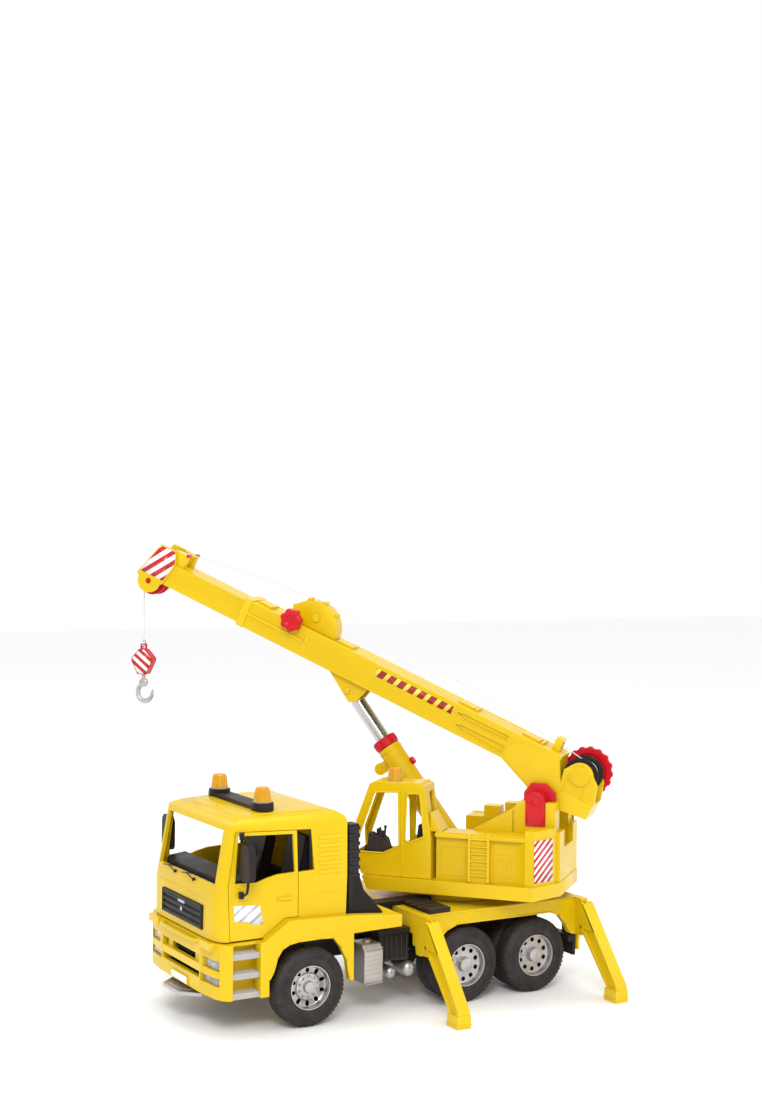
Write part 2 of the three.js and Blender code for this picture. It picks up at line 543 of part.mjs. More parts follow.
function pivotCover(name, s) {
  const hood = [[-82, TOWER_TOP + GAP], [-82, 214], [-90, 224], [-106, 224], [-116.6, 214], [-116.6, 206.5],
    [-114.5, TOWER_TOP + GAP]];
  const arch = [[-87, 180 + GAP], ...arc(-97.5, 206, 10.5, 0, 180, 10), [-108, 180 + GAP]];
  const body = join(sidePlate(hood, s * 25.4, s * 31), sidePlate(arch, s * 28.6, s * 45));
  return part(name, body, PAINT.red);
}

function boomPivotPin() {
  return part('boom_pivot_pin', rod('y', -24.9, 24.9, BOOM_PIVOT.x, BOOM_PIVOT.z, 4, 20), PAINT.steel);
}

// ---- boom, drawn along its own axis from its pivot ----
const BOOM_SIDE = [[400, 20.4], [400, 51.5], [-1.4, 51.5], [-1.1, 45.7], [-13.8, 20.2], [-51.8, 17.7],
  [-51.6, 1.6], [-22, -2.2], [-9, -9], [6, -9], [20.1, 4.5], [58.6, 20.4]];

function winchArm(s) {
  const outline = [[-12, 18], [-8.7, 40.3], ...arc(WINCH.x, WINCH.z, 14.6, 35, 155, 8), [-48.5, 38.8],
    [-53.2, 19.5], [-51.8, 16]];
  return sidePlate(outline, s * 15.7, s * 19.5);
}

function boomPockets(s) {
  const upper = [[60, 39.5], [112, 38.6], [126, 44], [112, 46], [60, 46]];
  const lower = [[60, 24.4], [112, 27], [122, 31], [112, 33.6], [60, 34]];
  return [upper, lower].map((points) => sidePlate(points, s * 18, s * 21));
}

function outerBoom() {
  const beam = sidePlate(BOOM_SIDE, -19.5, 19.5);
  const bore = block(30, 410, -17.4, 17.4, 21.7, 49.4);
  const ridges = [[29, 50], [109, 128], [268, 284], [374, 389]].map(([a, b]) => block(a, b, -9, 9, 51,
    53.8));
  const guide = cut(block(6, 14, -8.5, 8.5, 51, 66), block(5, 15, -5, 5, 55, 62.5));
  const ramCheeks = both((s) => sidePlate([[280.4, 20.8], [243, -3.3], [234.7, 0.7], [229, 20.8]],
    s * 9.2, s * 13));
  const ramStubs = both((s) => rod('y', s * 6.3, s * 10, 249.9, 7.2, 4));
  const ribs = both((s) => block(318, 397, s * 19, s * 21, 35.6, 38.4));
  const bosses = join(rod('y', 19, 21.2, WINCH.x, WINCH.z, 11, 20), rod('y', -19, -20.2, WINCH.x,
    WINCH.z, 11, 20));
  const holes = [rod('y', -25, 25, 0, 0, 4.4, 20), rod('y', -25, 19.2, WINCH.x, WINCH.z, 3.6)];
  const all = join(cut(beam, bore), ridges, guide, ramCheeks, ramStubs, ribs, both(winchArm), bosses);
  return part('outer_boom', cut(all, holes, both(boomPockets).flat()), PAINT.yellow);
}

function gearHousing() {
  const dome = sidePlate(arc(319.5, 51.8, 31.5, 0, 180, 18), -10, 8);
  const cap = rod('y', 7, 10.5, 317.7, 65.5, 4.5);
  const bearing = rod('y', 7, 14, KNOB.x, KNOB.z + 0.6, 6.4);
  const low = block(280, 360, -20, 20, 40, 51.8);
  const bore = rod('y', -6, 20, KNOB.x, KNOB.z, 2.9);
  return part('gear_housing', cut(join(dome, cap, bearing), low, bore), PAINT.yellow);
}

function extensionKnob() {
  const lobes = Array.from({ length: 7 }, (_, i) => {
    const a = (i * 360 * DEG) / 7;
    return rod('y', 22, 32, KNOB.x + 10.2 * Math.cos(a), KNOB.z + 10.2 * Math.sin(a), 3.9, 12);
  });
  const hub = rod('y', 22, 33, KNOB.x, KNOB.z, 9.5, 20);
  const shaft = rod('y', -5, 23, KNOB.x, KNOB.z, 2.4, 12);
  return part('extension_knob', join(lobes, hub, shaft), PAINT.red);
}

function winchDrum() {
  const profile = [[0, -21.5], [3, -21.5], [3, -14.8], [19, -14.8], [19, -12.6], [12.6, -12.4],
    [12.6, 12.4], [19, 12.6], [19, 14.8], [3, 14.8], [3, 18.9], [0, 18.9]];
  return part('winch_drum', solid(turned(profile, 20).translate(WINCH.x, 0, WINCH.z)), PAINT.black);
}

function winchHandwheel() {
  const teeth = 16;
  const rim = Array.from({ length: teeth * 4 }, (_, i) => {
    const a = ((i + 0.5) * 360 * DEG) / (teeth * 4);
    const r = i % 4 < 2 ? 27.4 : 24.6;
    return [WINCH.x + r * Math.cos(a), WINCH.z + r * Math.sin(a)];
  });
  const dish = rod('y', -28, -26, WINCH.x, WINCH.z, 20, 24);
  const hub = rod('y', -28, -22, WINCH.x, WINCH.z, 7, 16);
  return part('winch_handwheel', join(cut(sidePlate(rim, -27.6, -22), dish), hub), PAINT.red);
}

const HEAD_CHEEK = [[502.7, 64.2], [523.3, 64.1], [539.3, 22.5], ...arc(521.6, 19, 14, 0, -180, 10),
  [503.4, 23.7], [497.9, 45], [497.3, 52]];

function innerBoom() {
  const beam = block(183, 503, -17, 17, 22, 49);
  const bore = block(180, 496, -14.6, 14.6, 24.6, 46.6);
  const cheeks = both((s) => sidePlate(HEAD_CHEEK, s * 14.6, s * 18.5));
  const horns = both((s) => block(488, 504, s * 8, s * 15, 48, 64.5));
  const bars = [rod('y', -15, 15, 505, 59.2, 1.6, 10), rod('y', -15, 15, 533, 38, 1.8, 12)];
  const sheaveHole = rod('y', -30, 30, SHEAVE.x, SHEAVE.z, 3.4);
  return part('inner_boom', cut(join(cut(beam, bore), cheeks, horns, bars), sheaveHole), PAINT.yellow);
}

function headSheave() {
  const profile = [[0, -18], [3, -18], [3, -7.5], [16.5, -7.5], [16.5, -6], [12.4, -2.2], [12.4, 2.2],
    [16.5, 6], [16.5, 7.5], [3, 7.5], [3, 18], [0, 18]];
  return part('head_sheave', solid(turned(profile, 20).translate(SHEAVE.x, 0, SHEAVE.z)), PAINT.red);
}

// ---- cord ----
// drum, rear guide, over the gear housing, over the head's bar and round the front of the sheave
const TOP_ROUTE = [[-24, 54.2], [-8, 56.6], [10, 59.3], [60, 64.1], [120, 69.4], [180, 74.5],
  [240, 79.3], [290, 83],
  [310, 84.1], [330, 83.9], [350, 82.3], [400, 77.3], [450, 70.9], [488, 65.2], [503, 62.9], [508.4, 62.4],
  [512.4, 59.5], [516.4, 53.5], [527, 36], [530.8, 30.6], [534, 27], [536.1, 22.8]];

function ropeTop() {
  return part('rope_top', tube(TOP_ROUTE.map(([u, v]) => [u, 0, v]), ROPE_R, 58), PAINT.cord);
}

// ---- luffing ram, drawn upright from its foot pin ----
function cylinderTube() {
  const barrel = rod('z', 13, 137, 0, 0, 13.2, 24);
  const bore = rod('z', 17, 140, 0, 0, 9.2, 24);
  const eye = rod('y', -12, 12, 0, 0, 9.5, 20);
  const neck = block(-9, 9, -12, 12, 0, 16);
  const pinHole = rod('y', -20, 20, 0, 0, 4.4, 20);
  const boss = join(rod('y', -7, 7, 20.6, 121.8, 6.7), block(8, 20, -5, 5, 116, 127));
  const buttonWell = rod('x', -20, -9.9, 0, 109.3, 4.6);
  return part('cylinder_tube', cut(join(barrel, eye, neck, boss), bore, pinHole, buttonWell), PAINT.yellow);
}

function cylinderCollar() {
  const ring = rod('z', 137 + GAP, 148, 0, 0, 13.6, 24);
  return part('cylinder_collar', cut(ring, rod('z', 130, 150, 0, 0, 9, 24)), PAINT.red);
}

function pistonRod() {
  const shaft = rod('z', 44, RAM_LENGTH - 14, 0, 0, 8.3, 24);
  const eye = rod('y', -5.4, 5.4, 0, RAM_LENGTH, 6.2);
  const neck = block(-5, 5, -5.4, 5.4, RAM_LENGTH - 20, RAM_LENGTH - 2);
  const hole = rod('y', -8, 8, 0, RAM_LENGTH, 3.2);
  return part('piston_rod', cut(join(shaft, neck, eye), hole), PAINT.steel);
}

function releaseButton() {
  return part('release_button', rod('x', -17, -12.4, 0, 109.3, 4.2), PAINT.red);
}

// ---- hook tackle, drawn in the superstructure's axes ----
const HOOK = { ropeTop: 425.6, ropeFoot: 361.6, ring: 356.6 };

function ropeDrop() {
  const line = [[HOOK_X, 0, HOOK.ropeTop], [HOOK_X, 0, 390], [HOOK_X, 0, HOOK.ropeFoot]];
  return part('rope_drop', tube(line, ROPE_R, 12), PAINT.cord);
}

function hookRing() {
  const ring = turned(arc(4, 0, 0.7, 0, 360, 6), 12).rotateZ(90 * DEG);
  const knot = rod('z', HOOK.ring + 3.4, HOOK.ropeFoot - GAP, HOOK_X, 0, 1.3, 8);
  return part('hook_ring', join(solid(ring.translate(HOOK_X, 0, HOOK.ring)), knot), PAINT.steel);
}

function hookBlock() {
  const x = HOOK_X;
  const shape = [[x - 4, 350.5], [x + 4, 350.5], [x + 13.6, 340], [x + 13.6, 336.5], [x + 6, 321],
    [x - 6, 321], [x - 13.6, 336.5], [x - 13.6, 340]];
  const eye = cut(sidePlate([[x - 4, 349], [x - 4, 356.8], [x + 4, 356.8], [x + 4, 349]], -1.2, 1.2),
    block(x - 2.2, x + 2.2, -3, 3, 351.2, 355));
  return part('hook_block', join(sidePlate(shape, -5.5, 5.5), eye), PAINT.red);
}

function hook() {
  const x = HOOK_X;
  const stem = rod('z', 311, 320.6, x, 0, 2.6, 12);
  const eye = rod('y', -2.6, 2.6, x, 311, 5, 16);
  const outer = [...arc(x - 2, 298.5, 11.8, 62, -170, 14), [x - 13.8, 302], [x - 10.6, 303.4],
    [x - 8.6, 298.8],
    ...arc(x - 2, 298.5, 6.4, -175, 55, 12), [x - 3.4, 309], [x + 2.2, 311.6]];
  return part('hook', join(stem, eye, sidePlate(outer, -2.4, 2.4)), PAINT.silver);
}

// ---- assembly ----
const chassis = group(
  axle('front', AXLE_X.front, FRONT_RIM, FRONT_TYRE_IN, false),
  axle('middle', AXLE_X.middle, REAR_RIM, REAR_TYRE_IN, true),
  axle('rear', AXLE_X.rear, REAR_RIM, REAR_TYRE_IN, true),
  chassisFrame(), rearDeck(), lowerBodyFront(), headlight('headlight_left', 1),
    headlight('headlight_right', -1),
  engineBlock(), walkwayPlate(), intakeStack(), fuelTank('fuel_tank', 1), fuelTank('fuel_tank_right', -1),
  batteryBox(), airTanks(), turntableRing(), latchLever(),
  outrigger('outrigger_front_left', LEG_X.front, 1), outrigger('outrigger_front_right', LEG_X.front, -1),
  outrigger('outrigger_rear_left', LEG_X.rear, 1), outrigger('outrigger_rear_right', LEG_X.rear, -1),
);

const cab = group(
  cabShell(), cabInterior(), grille(), lightBar(), door('door_left', 1), door('door_right', -1),
  mirror('mirror_left', 1), mirror('mirror_right', -1),
  beacon('beacon_left', BEACON.x, BEACON.y, BEACON.low, BEACON.top, 9.2),
  beacon('beacon_right', BEACON.x, -BEACON.y, BEACON.low, BEACON.top, 9.2),
);

const boom = group(outerBoom(), gearHousing(), extensionKnob(), winchDrum(), winchHandwheel(), innerBoom(),
  headSheave(), ropeTop());
boom.position.set(BOOM_PIVOT.x, 0, BOOM_PIVOT.z);
boom.rotation.y = -LUFF_ANGLE;

const ram = group(cylinderTube(), cylinderCollar(), pistonRod(), releaseButton());
ram.position.set(RAM_FOOT.x, 0, RAM_FOOT.z);
ram.rotation.y = RAM_TILT;

const superstructure = group(
  superstructureBase(), craneCab(), craneCabInterior(), beacon('crane_beacon', 53, 61, 222.3, 237, 8.8),
  pivotCover('pivot_cover_left', 1), pivotCover('pivot_cover_right', -1), boomPivotPin(),
  boom, ram, ropeDrop(), hookRing(), hookBlock(), hook(),
);
superstructure.position.x = SLEW_X;
superstructure.rotation.z = SLEW_ANGLE;

const crane = group(chassis, cab, superstructure);

// ---- origin under the centre of the box, the cord left out ----
function moveToBoxCentre(object) {
  object.updateMatrixWorld(true);
  const box = new THREE.Box3();
  object.traverse((child) => {
    if (child.isMesh && !child.name.startsWith('rope')) box.expandByObject(child, true);
  });
  object.position.set(-middle(box.min.x, box.max.x), -middle(box.min.y, box.max.y), -box.min.z);
  object.updateMatrixWorld(true);
}

moveToBoxCentre(crane);
export default crane;
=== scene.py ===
import json
import math

import bmesh
import bpy
from mathutils import Matrix, Vector


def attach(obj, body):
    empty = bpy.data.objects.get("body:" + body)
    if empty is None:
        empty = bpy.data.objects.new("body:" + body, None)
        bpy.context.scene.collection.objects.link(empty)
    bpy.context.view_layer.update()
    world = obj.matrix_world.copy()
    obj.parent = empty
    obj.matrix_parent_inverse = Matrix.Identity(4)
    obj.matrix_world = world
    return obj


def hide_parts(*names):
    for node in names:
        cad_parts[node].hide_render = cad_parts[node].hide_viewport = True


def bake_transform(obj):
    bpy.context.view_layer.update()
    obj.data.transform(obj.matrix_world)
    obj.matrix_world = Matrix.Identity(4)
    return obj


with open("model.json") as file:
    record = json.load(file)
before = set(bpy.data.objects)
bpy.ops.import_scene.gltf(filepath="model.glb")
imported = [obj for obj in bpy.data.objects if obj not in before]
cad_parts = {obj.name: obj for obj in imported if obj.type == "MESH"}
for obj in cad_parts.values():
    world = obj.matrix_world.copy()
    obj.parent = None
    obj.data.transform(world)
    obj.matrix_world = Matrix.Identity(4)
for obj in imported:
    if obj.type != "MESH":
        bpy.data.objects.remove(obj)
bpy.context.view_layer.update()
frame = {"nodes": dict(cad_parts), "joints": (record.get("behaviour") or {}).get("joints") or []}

JOINTS = {joint["name"]: joint for joint in frame["joints"]}
MM = 0.001
UP = Vector((0, 0, 1))


def joint_point(name):
    return Vector(JOINTS[name]["pos_m"])


def joint_axis(name):
    return Vector(JOINTS[name]["axis"]).normalized()


def placed(origin, x, y, z):
    """The matrix of a frame with these axes at origin."""
    matrix = Matrix((x, y, z)).transposed().to_4x4()
    matrix.translation = origin
    return matrix


def on_ground(point):
    return Vector((point.x, point.y, 0))


ACROSS = -joint_axis("luff")
FORWARD = ACROSS.cross(UP)
ALONG = joint_axis("boom_extend")
RAM_AXIS = joint_axis("ram_extend")
TRUCK = Matrix.Translation(on_ground(joint_point("front_wheels_roll")))
SUPER = placed(on_ground(joint_point("slew")), FORWARD, ACROSS, UP)
BOOM = placed(joint_point("luff"), ALONG, ACROSS, ALONG.cross(ACROSS))
RAM = placed(joint_point("ram_swing"), ACROSS.cross(RAM_AXIS), ACROSS, RAM_AXIS)


def at(matrix, x, y, z):
    """A point given in millimetres in that frame, in the row frame in metres."""
    return matrix @ Vector((x * MM, y * MM, z * MM))


SIDES = (("left", 1), ("right", -1))


def linked(name, data):
    """A new object in the scene."""
    made = bpy.data.objects.new(name, data)
    bpy.context.scene.collection.objects.link(made)
    return made


# ---- camera ----
CAMERA_PLACE = (775.0, 1559.5, 492.6)  # in the TRUCK frame
CAMERA_TURN = math.radians(30.098)  # from the +Y axis towards +X
CAMERA_DROP = math.radians(0.681)
CAMERA_ROLL = math.radians(0.503)
LENS = 55.11


def camera():
    right = Vector((-math.cos(CAMERA_TURN), math.sin(CAMERA_TURN), 0))
    level = math.cos(CAMERA_DROP)
    back = Vector((math.sin(CAMERA_TURN) * level, math.cos(CAMERA_TURN) * level, math.sin(CAMERA_DROP)))
    up = back.cross(right)
    c, s = math.cos(CAMERA_ROLL), math.sin(CAMERA_ROLL)
    data = bpy.data.cameras.new("camera")
    data.lens = LENS
    data.sensor_width = 36
    seen = linked("camera", data)
    seen.matrix_world = placed(at(TRUCK, *CAMERA_PLACE), c * right + s * up, c * up - s * right, back)
    bpy.context.scene.camera = seen


camera()


# ---- materials ----
def node(tree, kind, **values):
    made = tree.nodes.new(kind)
    for key, value in values.items():
        if key in made.inputs:
            made.inputs[key].default_value = value
        else:
            setattr(made, key, value)
    return made


def shader(name, roughness, gloss=0.3, **values):
    """A material, its node tree and its Principled shader with constants on its own sockets."""
    made = bpy.data.materials.new(name)
    made.use_nodes = True
    tree = made.node_tree
    surface = tree.nodes["Principled BSDF"]
    surface.inputs["Roughness"].default_value = roughness
    surface.inputs["Specular IOR Level"].default_value = gloss
    for key, value in values.items():
        surface.inputs[key.replace("_", " ")].default_value = value
    return made, tree, surface


def laid_out(tree, made, socket="Vector"):
    """Gives a node the object's own coordinates, in metres."""
    tree.links.new(tree.nodes.new("ShaderNodeTexCoord").outputs["Object"], made.inputs[socket])
    return made


def noise(tree, scale, detail=3.0):
    """Smooth noise from 0 to 1, with about scale patches to the metre."""
    return laid_out(tree, node(tree, "ShaderNodeTexNoise", Scale=scale, Detail=detail)).outputs["Fac"]


def spread(tree, value, low, high, start=0.3, stop=0.7):
    """Stretches value from start..stop to low..high, held at the ends."""
    made = tree.nodes.new("ShaderNodeMapRange")
    for key, number in zip(("From Min", "From Max", "To Min", "To Max"), (start, stop, low, high)):
        made.inputs[key].default_value = number
    tree.links.new(value, made.inputs["Value"])
    return made.outputs["Result"]


def mixed(tree, value, first, second):
    """The first colour where value is 0, the second where it is 1."""
    made = tree.nodes.new("ShaderNodeMix")
    made.data_type = "RGBA"
    tree.links.new(value, made.inputs["Factor"])
    for socket, colour in ((made.inputs["A"], first), (made.inputs["B"], second)):
        if isinstance(colour, tuple):
            socket.default_value = (*colour, 1)
        else:
            tree.links.new(colour, socket)
    return made.outputs["Result"]


def paint(tree, surface, socket, value):
    tree.links.new(value, surface.inputs[socket])


def bumped(tree, surface, height, strength, distance):
    made = node(tree, "ShaderNodeBump", Strength=strength, Distance=distance)
    tree.links.new(height, made.inputs["Height"])
    tree.links.new(made.outputs["Normal"], surface.inputs["Normal"])


def scaled(colour, factor):
    return tuple(channel * factor for channel in colour)


def worn(tree, colour, paler):
    """Moulded colour with slow variation, and paler where edges are rubbed."""
    body = mixed(tree, spread(tree, noise(tree, 22), 0, 1), scaled(colour, 0.94), colour)
    sharp = tree.nodes.new("ShaderNodeNewGeometry").outputs["Pointiness"]
    rubbed = spread(tree, sharp, 0, 0.35, 0.52, 0.6)
    return mixed(tree, rubbed, body, paler)


LOW_GLOSS = 0.17  # Specular IOR Level of the moulded plastics


def plastic(name, colour, paler, roughness, grain=0.04, coat=0.0):
    made, tree, surface = shader(name, roughness, LOW_GLOSS, IOR=1.5, Coat_Weight=coat,
                                 Coat_Roughness=0.12)
    paint(tree, surface, "Base Color", worn(tree, colour, paler))
    blotches = noise(tree, 40, 6)
    paint(tree, surface, "Roughness", spread(tree, blotches, roughness * 0.82, roughness * 1.2))
    bumped(tree, surface, noise(tree, 1500, 2), grain, 0.0004)
    return made


def rubber(name, colour):
    """Black rubber with paler dust in patches."""
    made, tree, surface = shader(name, 0.72, IOR=1.45)
    dusty = mixed(tree, spread(tree, noise(tree, 90, 8), 0, 1), colour, scaled(colour, 1.9))
    paint(tree, surface, "Base Color", dusty)
    paint(tree, surface, "Roughness", spread(tree, noise(tree, 60, 6), 0.55, 0.8))
    bumped(tree, surface, noise(tree, 2400, 3), 0.12, 0.0004)
    return made


def metal(name, colour, roughness, grain):
    """Metal-coloured plastic, blotched a little."""
    made, tree, surface = shader(name, roughness, Metallic=0.85)
    shade = mixed(tree, spread(tree, noise(tree, 55, 5), 0, 1), scaled(colour, 0.86), colour)
    paint(tree, surface, "Base Color", shade)
    blotches = noise(tree, 110, 6)
    paint(tree, surface, "Roughness", spread(tree, blotches, roughness * 0.8, roughness * 1.25))
    bumped(tree, surface, noise(tree, 1800, 3), grain, 0.0003)
    return made


def brushed(name, colour, axis_scale):
    """Bright metal with fine scratches, drawn out along the axis with the smallest scale."""
    made, tree, surface = shader(name, 0.25, Metallic=1.0)
    stretch = tree.nodes.new("ShaderNodeMapping")
    stretch.inputs["Scale"].default_value = axis_scale
    laid_out(tree, stretch)
    scratches = node(tree, "ShaderNodeTexNoise", Scale=1.0, Detail=6.0)
    tree.links.new(stretch.outputs["Vector"], scratches.inputs["Vector"])
    fac = scratches.outputs["Fac"]
    paint(tree, surface, "Base Color", mixed(tree, spread(tree, fac, 0, 1), scaled(colour, 0.8), colour))
    paint(tree, surface, "Roughness", spread(tree, fac, 0.18, 0.34))
    bumped(tree, surface, fac, 0.05, 0.0002)
    return made


def striped(name, first, second, direction, pitch, share=0.5, phase=0.0):
    """Printed foil striped across direction every pitch millimetres, share of it in the first colour."""
    made, tree, surface = shader(name, 0.3, IOR=1.5, Coat_Weight=0.3, Coat_Roughness=0.1)
    run = laid_out(tree, node(tree, "ShaderNodeVectorMath", operation="DOT_PRODUCT"), 0)
    run.inputs[1].default_value = Vector(direction).normalized() / (pitch * MM)
    shifted = node(tree, "ShaderNodeMath", operation="ADD")
    tree.links.new(run.outputs["Value"], shifted.inputs[0])
    shifted.inputs[1].default_value = phase
    saw = node(tree, "ShaderNodeMath", operation="FRACT")
    tree.links.new(shifted.outputs[0], saw.inputs[0])
    edge = spread(tree, saw.outputs[0], 0, 1, share - 0.01, share + 0.01)
    print_colour = mixed(tree, edge, first, second)
    specks = spread(tree, noise(tree, 300, 5), 0, 0.06, 0.5, 0.7)
    faded = mixed(tree, specks, print_colour, (0.8, 0.78, 0.74))
    paint(tree, surface, "Base Color", faded)
    paint(tree, surface, "Roughness", spread(tree, noise(tree, 70, 5), 0.24, 0.4))
    bumped(tree, surface, noise(tree, 900, 3), 0.04, 0.0003)
    return made


def lens(name, colour, roughness, clearness=0.75):
    """Tinted plastic; clearness is the share of light that passes through."""
    made, tree, surface = shader(name, roughness, 0.35, IOR=1.46, Transmission_Weight=clearness)
    tint = mixed(tree, spread(tree, noise(tree, 60, 2), 0, 1), scaled(colour, 0.9), colour)
    paint(tree, surface, "Base Color", tint)
    bumped(tree, surface, noise(tree, 500, 2), 0.05, 0.0005)
    return made


def twisted(name, colour):
    """Cord with its strands laid slantwise."""
    made, tree, surface = shader(name, 0.8, Sheen_Weight=0.4)
    strands = node(tree, "ShaderNodeTexWave", Scale=420.0, Distortion=1.5)
    strands.bands_direction = "DIAGONAL"
    fac = laid_out(tree, strands).outputs["Fac"]
    paint(tree, surface, "Base Color", mixed(tree, fac, scaled(colour, 0.75), colour))
    bumped(tree, surface, fac, 0.5, 0.0003)
    return made


YELLOW_PAINT = (0.67, 0.45, 0.002)
RED_PAINT = (0.52, 0.004, 0.012)
WHITE_PAINT = (0.86, 0.85, 0.83)
YELLOW = plastic("yellow_plastic", YELLOW_PAINT, (0.86, 0.63, 0.03), 0.3, coat=0.12)
RED = plastic("red_plastic", RED_PAINT, (0.7, 0.04, 0.05), 0.34, coat=0.12)
BLACK = plastic("black_plastic", (0.012, 0.0095, 0.0095), (0.05, 0.042, 0.042), 0.42, grain=0.08)
DARK = plastic("dark_plastic", (0.026, 0.021, 0.021), (0.075, 0.065, 0.065), 0.55, grain=0.1)
GREY = plastic("light_grey_plastic", (0.44, 0.42, 0.41), (0.6, 0.58, 0.57), 0.45, grain=0.08)
WHITE = plastic("white_plate", WHITE_PAINT, (0.9, 0.9, 0.88), 0.4)
TYRE = rubber("tyre_rubber", (0.021, 0.0165, 0.0165))
SILVER = metal("silver_paint", (0.52, 0.5, 0.49), 0.36, 0.06)
STEEL = brushed("bright_steel", (0.6, 0.59, 0.6), (900, 900, 12))
CHROME = metal("reflector", (0.8, 0.8, 0.8), 0.14, 0.02)
AMBER = lens("amber_lens", (0.98, 0.53, 0.003), 0.1, 0.55)
CLEAR = lens("clear_lens", (0.9, 0.9, 0.88), 0.08)
CORD = twisted("cord_fibre", (0.8, 0.8, 0.77))
HAZARD = striped("hazard_foil", RED_PAINT, WHITE_PAINT, (0.305, 0.556, 0.773), 6.2)
HAZARD_HEAD = striped("hazard_foil_head", RED_PAINT, WHITE_PAINT, (0.8, 0, 0.6), 10.5, phase=0.2)
HAZARD_BLOCK = striped("hazard_foil_block", RED_PAINT, WHITE_PAINT, (-0.62, 0, 0.78), 8.0, phase=0.3)
BOOM_BARS = striped("boom_foil", (0.32, 0.02, 0.01), (0.95, 0.66, 0.08), (1, 0, 0.35), 12.0, share=0.62)
DOOR_BARS = striped("door_foil", (0.85, 0.85, 0.84), (0.45, 0.46, 0.5), (0.75, 0, 1), 9.0, share=0.72)


# ---- meshes ----
def turned_to(axis, p, q, h):
    """A point with p and q in the plane square to axis, and h along it."""
    return {"x": (h, p, q), "y": (p, h, q), "z": (p, q, h)}[axis]


def arc(cx, cy, r, start, stop, steps):
    angles = [math.radians(start + (stop - start) * i / steps) for i in range(steps + 1)]
    return [(cx + r * math.cos(a), cy + r * math.sin(a)) for a in angles]


def flank(near, far, side):
    """The range from near to far on the left (side 1), or mirrored for the right (side -1)."""
    return sorted((near * side, far * side))


def ring_of(count, radius, phase=0.0):
    for i in range(count):
        a = math.tau * (i + phase) / count
        yield radius * math.cos(a), radius * math.sin(a)


class Solid:
    """Closed shells in millimetres, gathered into one mesh."""

    def __init__(self):
        self.points, self.faces, self.slots = [], [], []

    def add(self, points, faces, slot=0):
        first = len(self.points)
        self.points += points
        self.faces += [tuple(first + i for i in face) for face in faces]
        self.slots += [slot] * len(faces)
        return self

    def prism(self, outline, axis, low, high, slot=0):
        n = len(outline)
        points = [turned_to(axis, p, q, h) for h in (low, high) for p, q in outline]
        sides = [(i, (i + 1) % n, n + (i + 1) % n, n + i) for i in range(n)]
        return self.add(points, [tuple(range(n)), tuple(range(2 * n - 1, n - 1, -1)), *sides], slot)

    def block(self, x0, x1, y0, y1, z0, z1):
        return self.prism([(x0, z0), (x1, z0), (x1, z1), (x0, z1)], "y", y0, y1)

    def rod(self, axis, low, high, p, q, r, sides=32, crown=0.3):
        """A round bar with its rims chamfered by crown."""
        profile = [(0, low), (r - crown, low), (r, low + crown)]
        profile += [(r, high - crown), (r - crown, high), (0, high)]
        return self.turn(profile, axis, p, q, sides)

    def turn(self, profile, axis, p=0, q=0, sides=64, shape=None):
        """Turns (radius, height) points from the axis back to it; shape changes the radius by step."""
        shape = shape or (lambda r, h, step: r)
        points, rows = [], []
        for r, h in profile:
            if r == 0:
                rows.append([len(points)] * sides)
                points.append(turned_to(axis, p, q, h))
                continue
            rows.append(list(range(len(points), len(points) + sides)))
            for i in range(sides):
                a = math.tau * i / sides
                radius = shape(r, h, i)
                points.append(turned_to(axis, p + radius * math.cos(a), q + radius * math.sin(a), h))
        faces = []
        for low, high in zip(rows, rows[1:]):
            for i in range(sides):
                j = (i + 1) % sides
                corners = [low[i], low[j], high[j], high[i]]
                face = [c for k, c in enumerate(corners) if c != corners[k - 1]]
                if len(face) > 2:
                    faces.append(tuple(face))
        return self.add(points, faces)

    def closed_turn(self, profile, axis, p=0, q=0, sides=64, shape=None):
        """A profile that closes on itself round a hole."""
        self.turn([*profile, profile[0]], axis, p, q, sides, shape)
        return self.weld_last(sides, len(profile))

    def weld_last(self, sides, rows):
        """Joins the last ring of a closed profile to its first ring."""
        last = len(self.points) - sides
        first = last - sides * rows
        swap = {last + i: first + i for i in range(sides)}
        self.faces = [tuple(swap.get(i, i) for i in face) for face in self.faces]
        del self.points[last:]
        return self

    def tube(self, path, radius, sides=12):
        """A round tube along points; radius is a number or a function of the share of the path."""
        size = radius if callable(radius) else (lambda share: radius)
        path = [Vector(p) for p in path]
        last = len(path) - 1
        ahead = [(path[min(i + 1, last)] - path[max(i - 1, 0)]).normalized() for i in range(last + 1)]
        side = ahead[0].orthogonal().normalized()
        points = []
        for i, (p, t) in enumerate(zip(path, ahead)):
            side = (side - t * side.dot(t)).normalized()
            other = t.cross(side)
            r = size(i / last)
            for k in range(sides):
                a = math.tau * k / sides
                points.append(tuple(p + side * (r * math.cos(a)) + other * (r * math.sin(a))))
        faces = [tuple(range(sides)), tuple(range(len(points) - 1, len(points) - sides - 1, -1))]
        for i in range(last):
            for k in range(sides):
                a, b = i * sides + k, i * sides + (k + 1) % sides
                faces.append((a, b, b + sides, a + sides))
        return self.add(points, faces)

    def beads(self, points, y, radius, sides=8, closed=False):
        """A straight bar from each (x, z) point to the next, all at one y."""
        for (x0, z0), (x1, z1) in zip(points, (*points[1:], points[0]) if closed else points[1:]):
            self.tube([(x0, y, z0), (x1, y, z1)], radius, sides)
        return self

    def mesh(self, name):
        made = bpy.data.meshes.new(name)
        made.from_pydata([tuple(c * MM for c in p) for p in self.points], [], self.faces)
        made.polygons.foreach_set("material_index", self.slots)
        work = bmesh.new()
        work.from_mesh(made)
        bmesh.ops.recalc_face_normals(work, faces=work.faces)
        work.to_mesh(made)
        work.free()
        return made


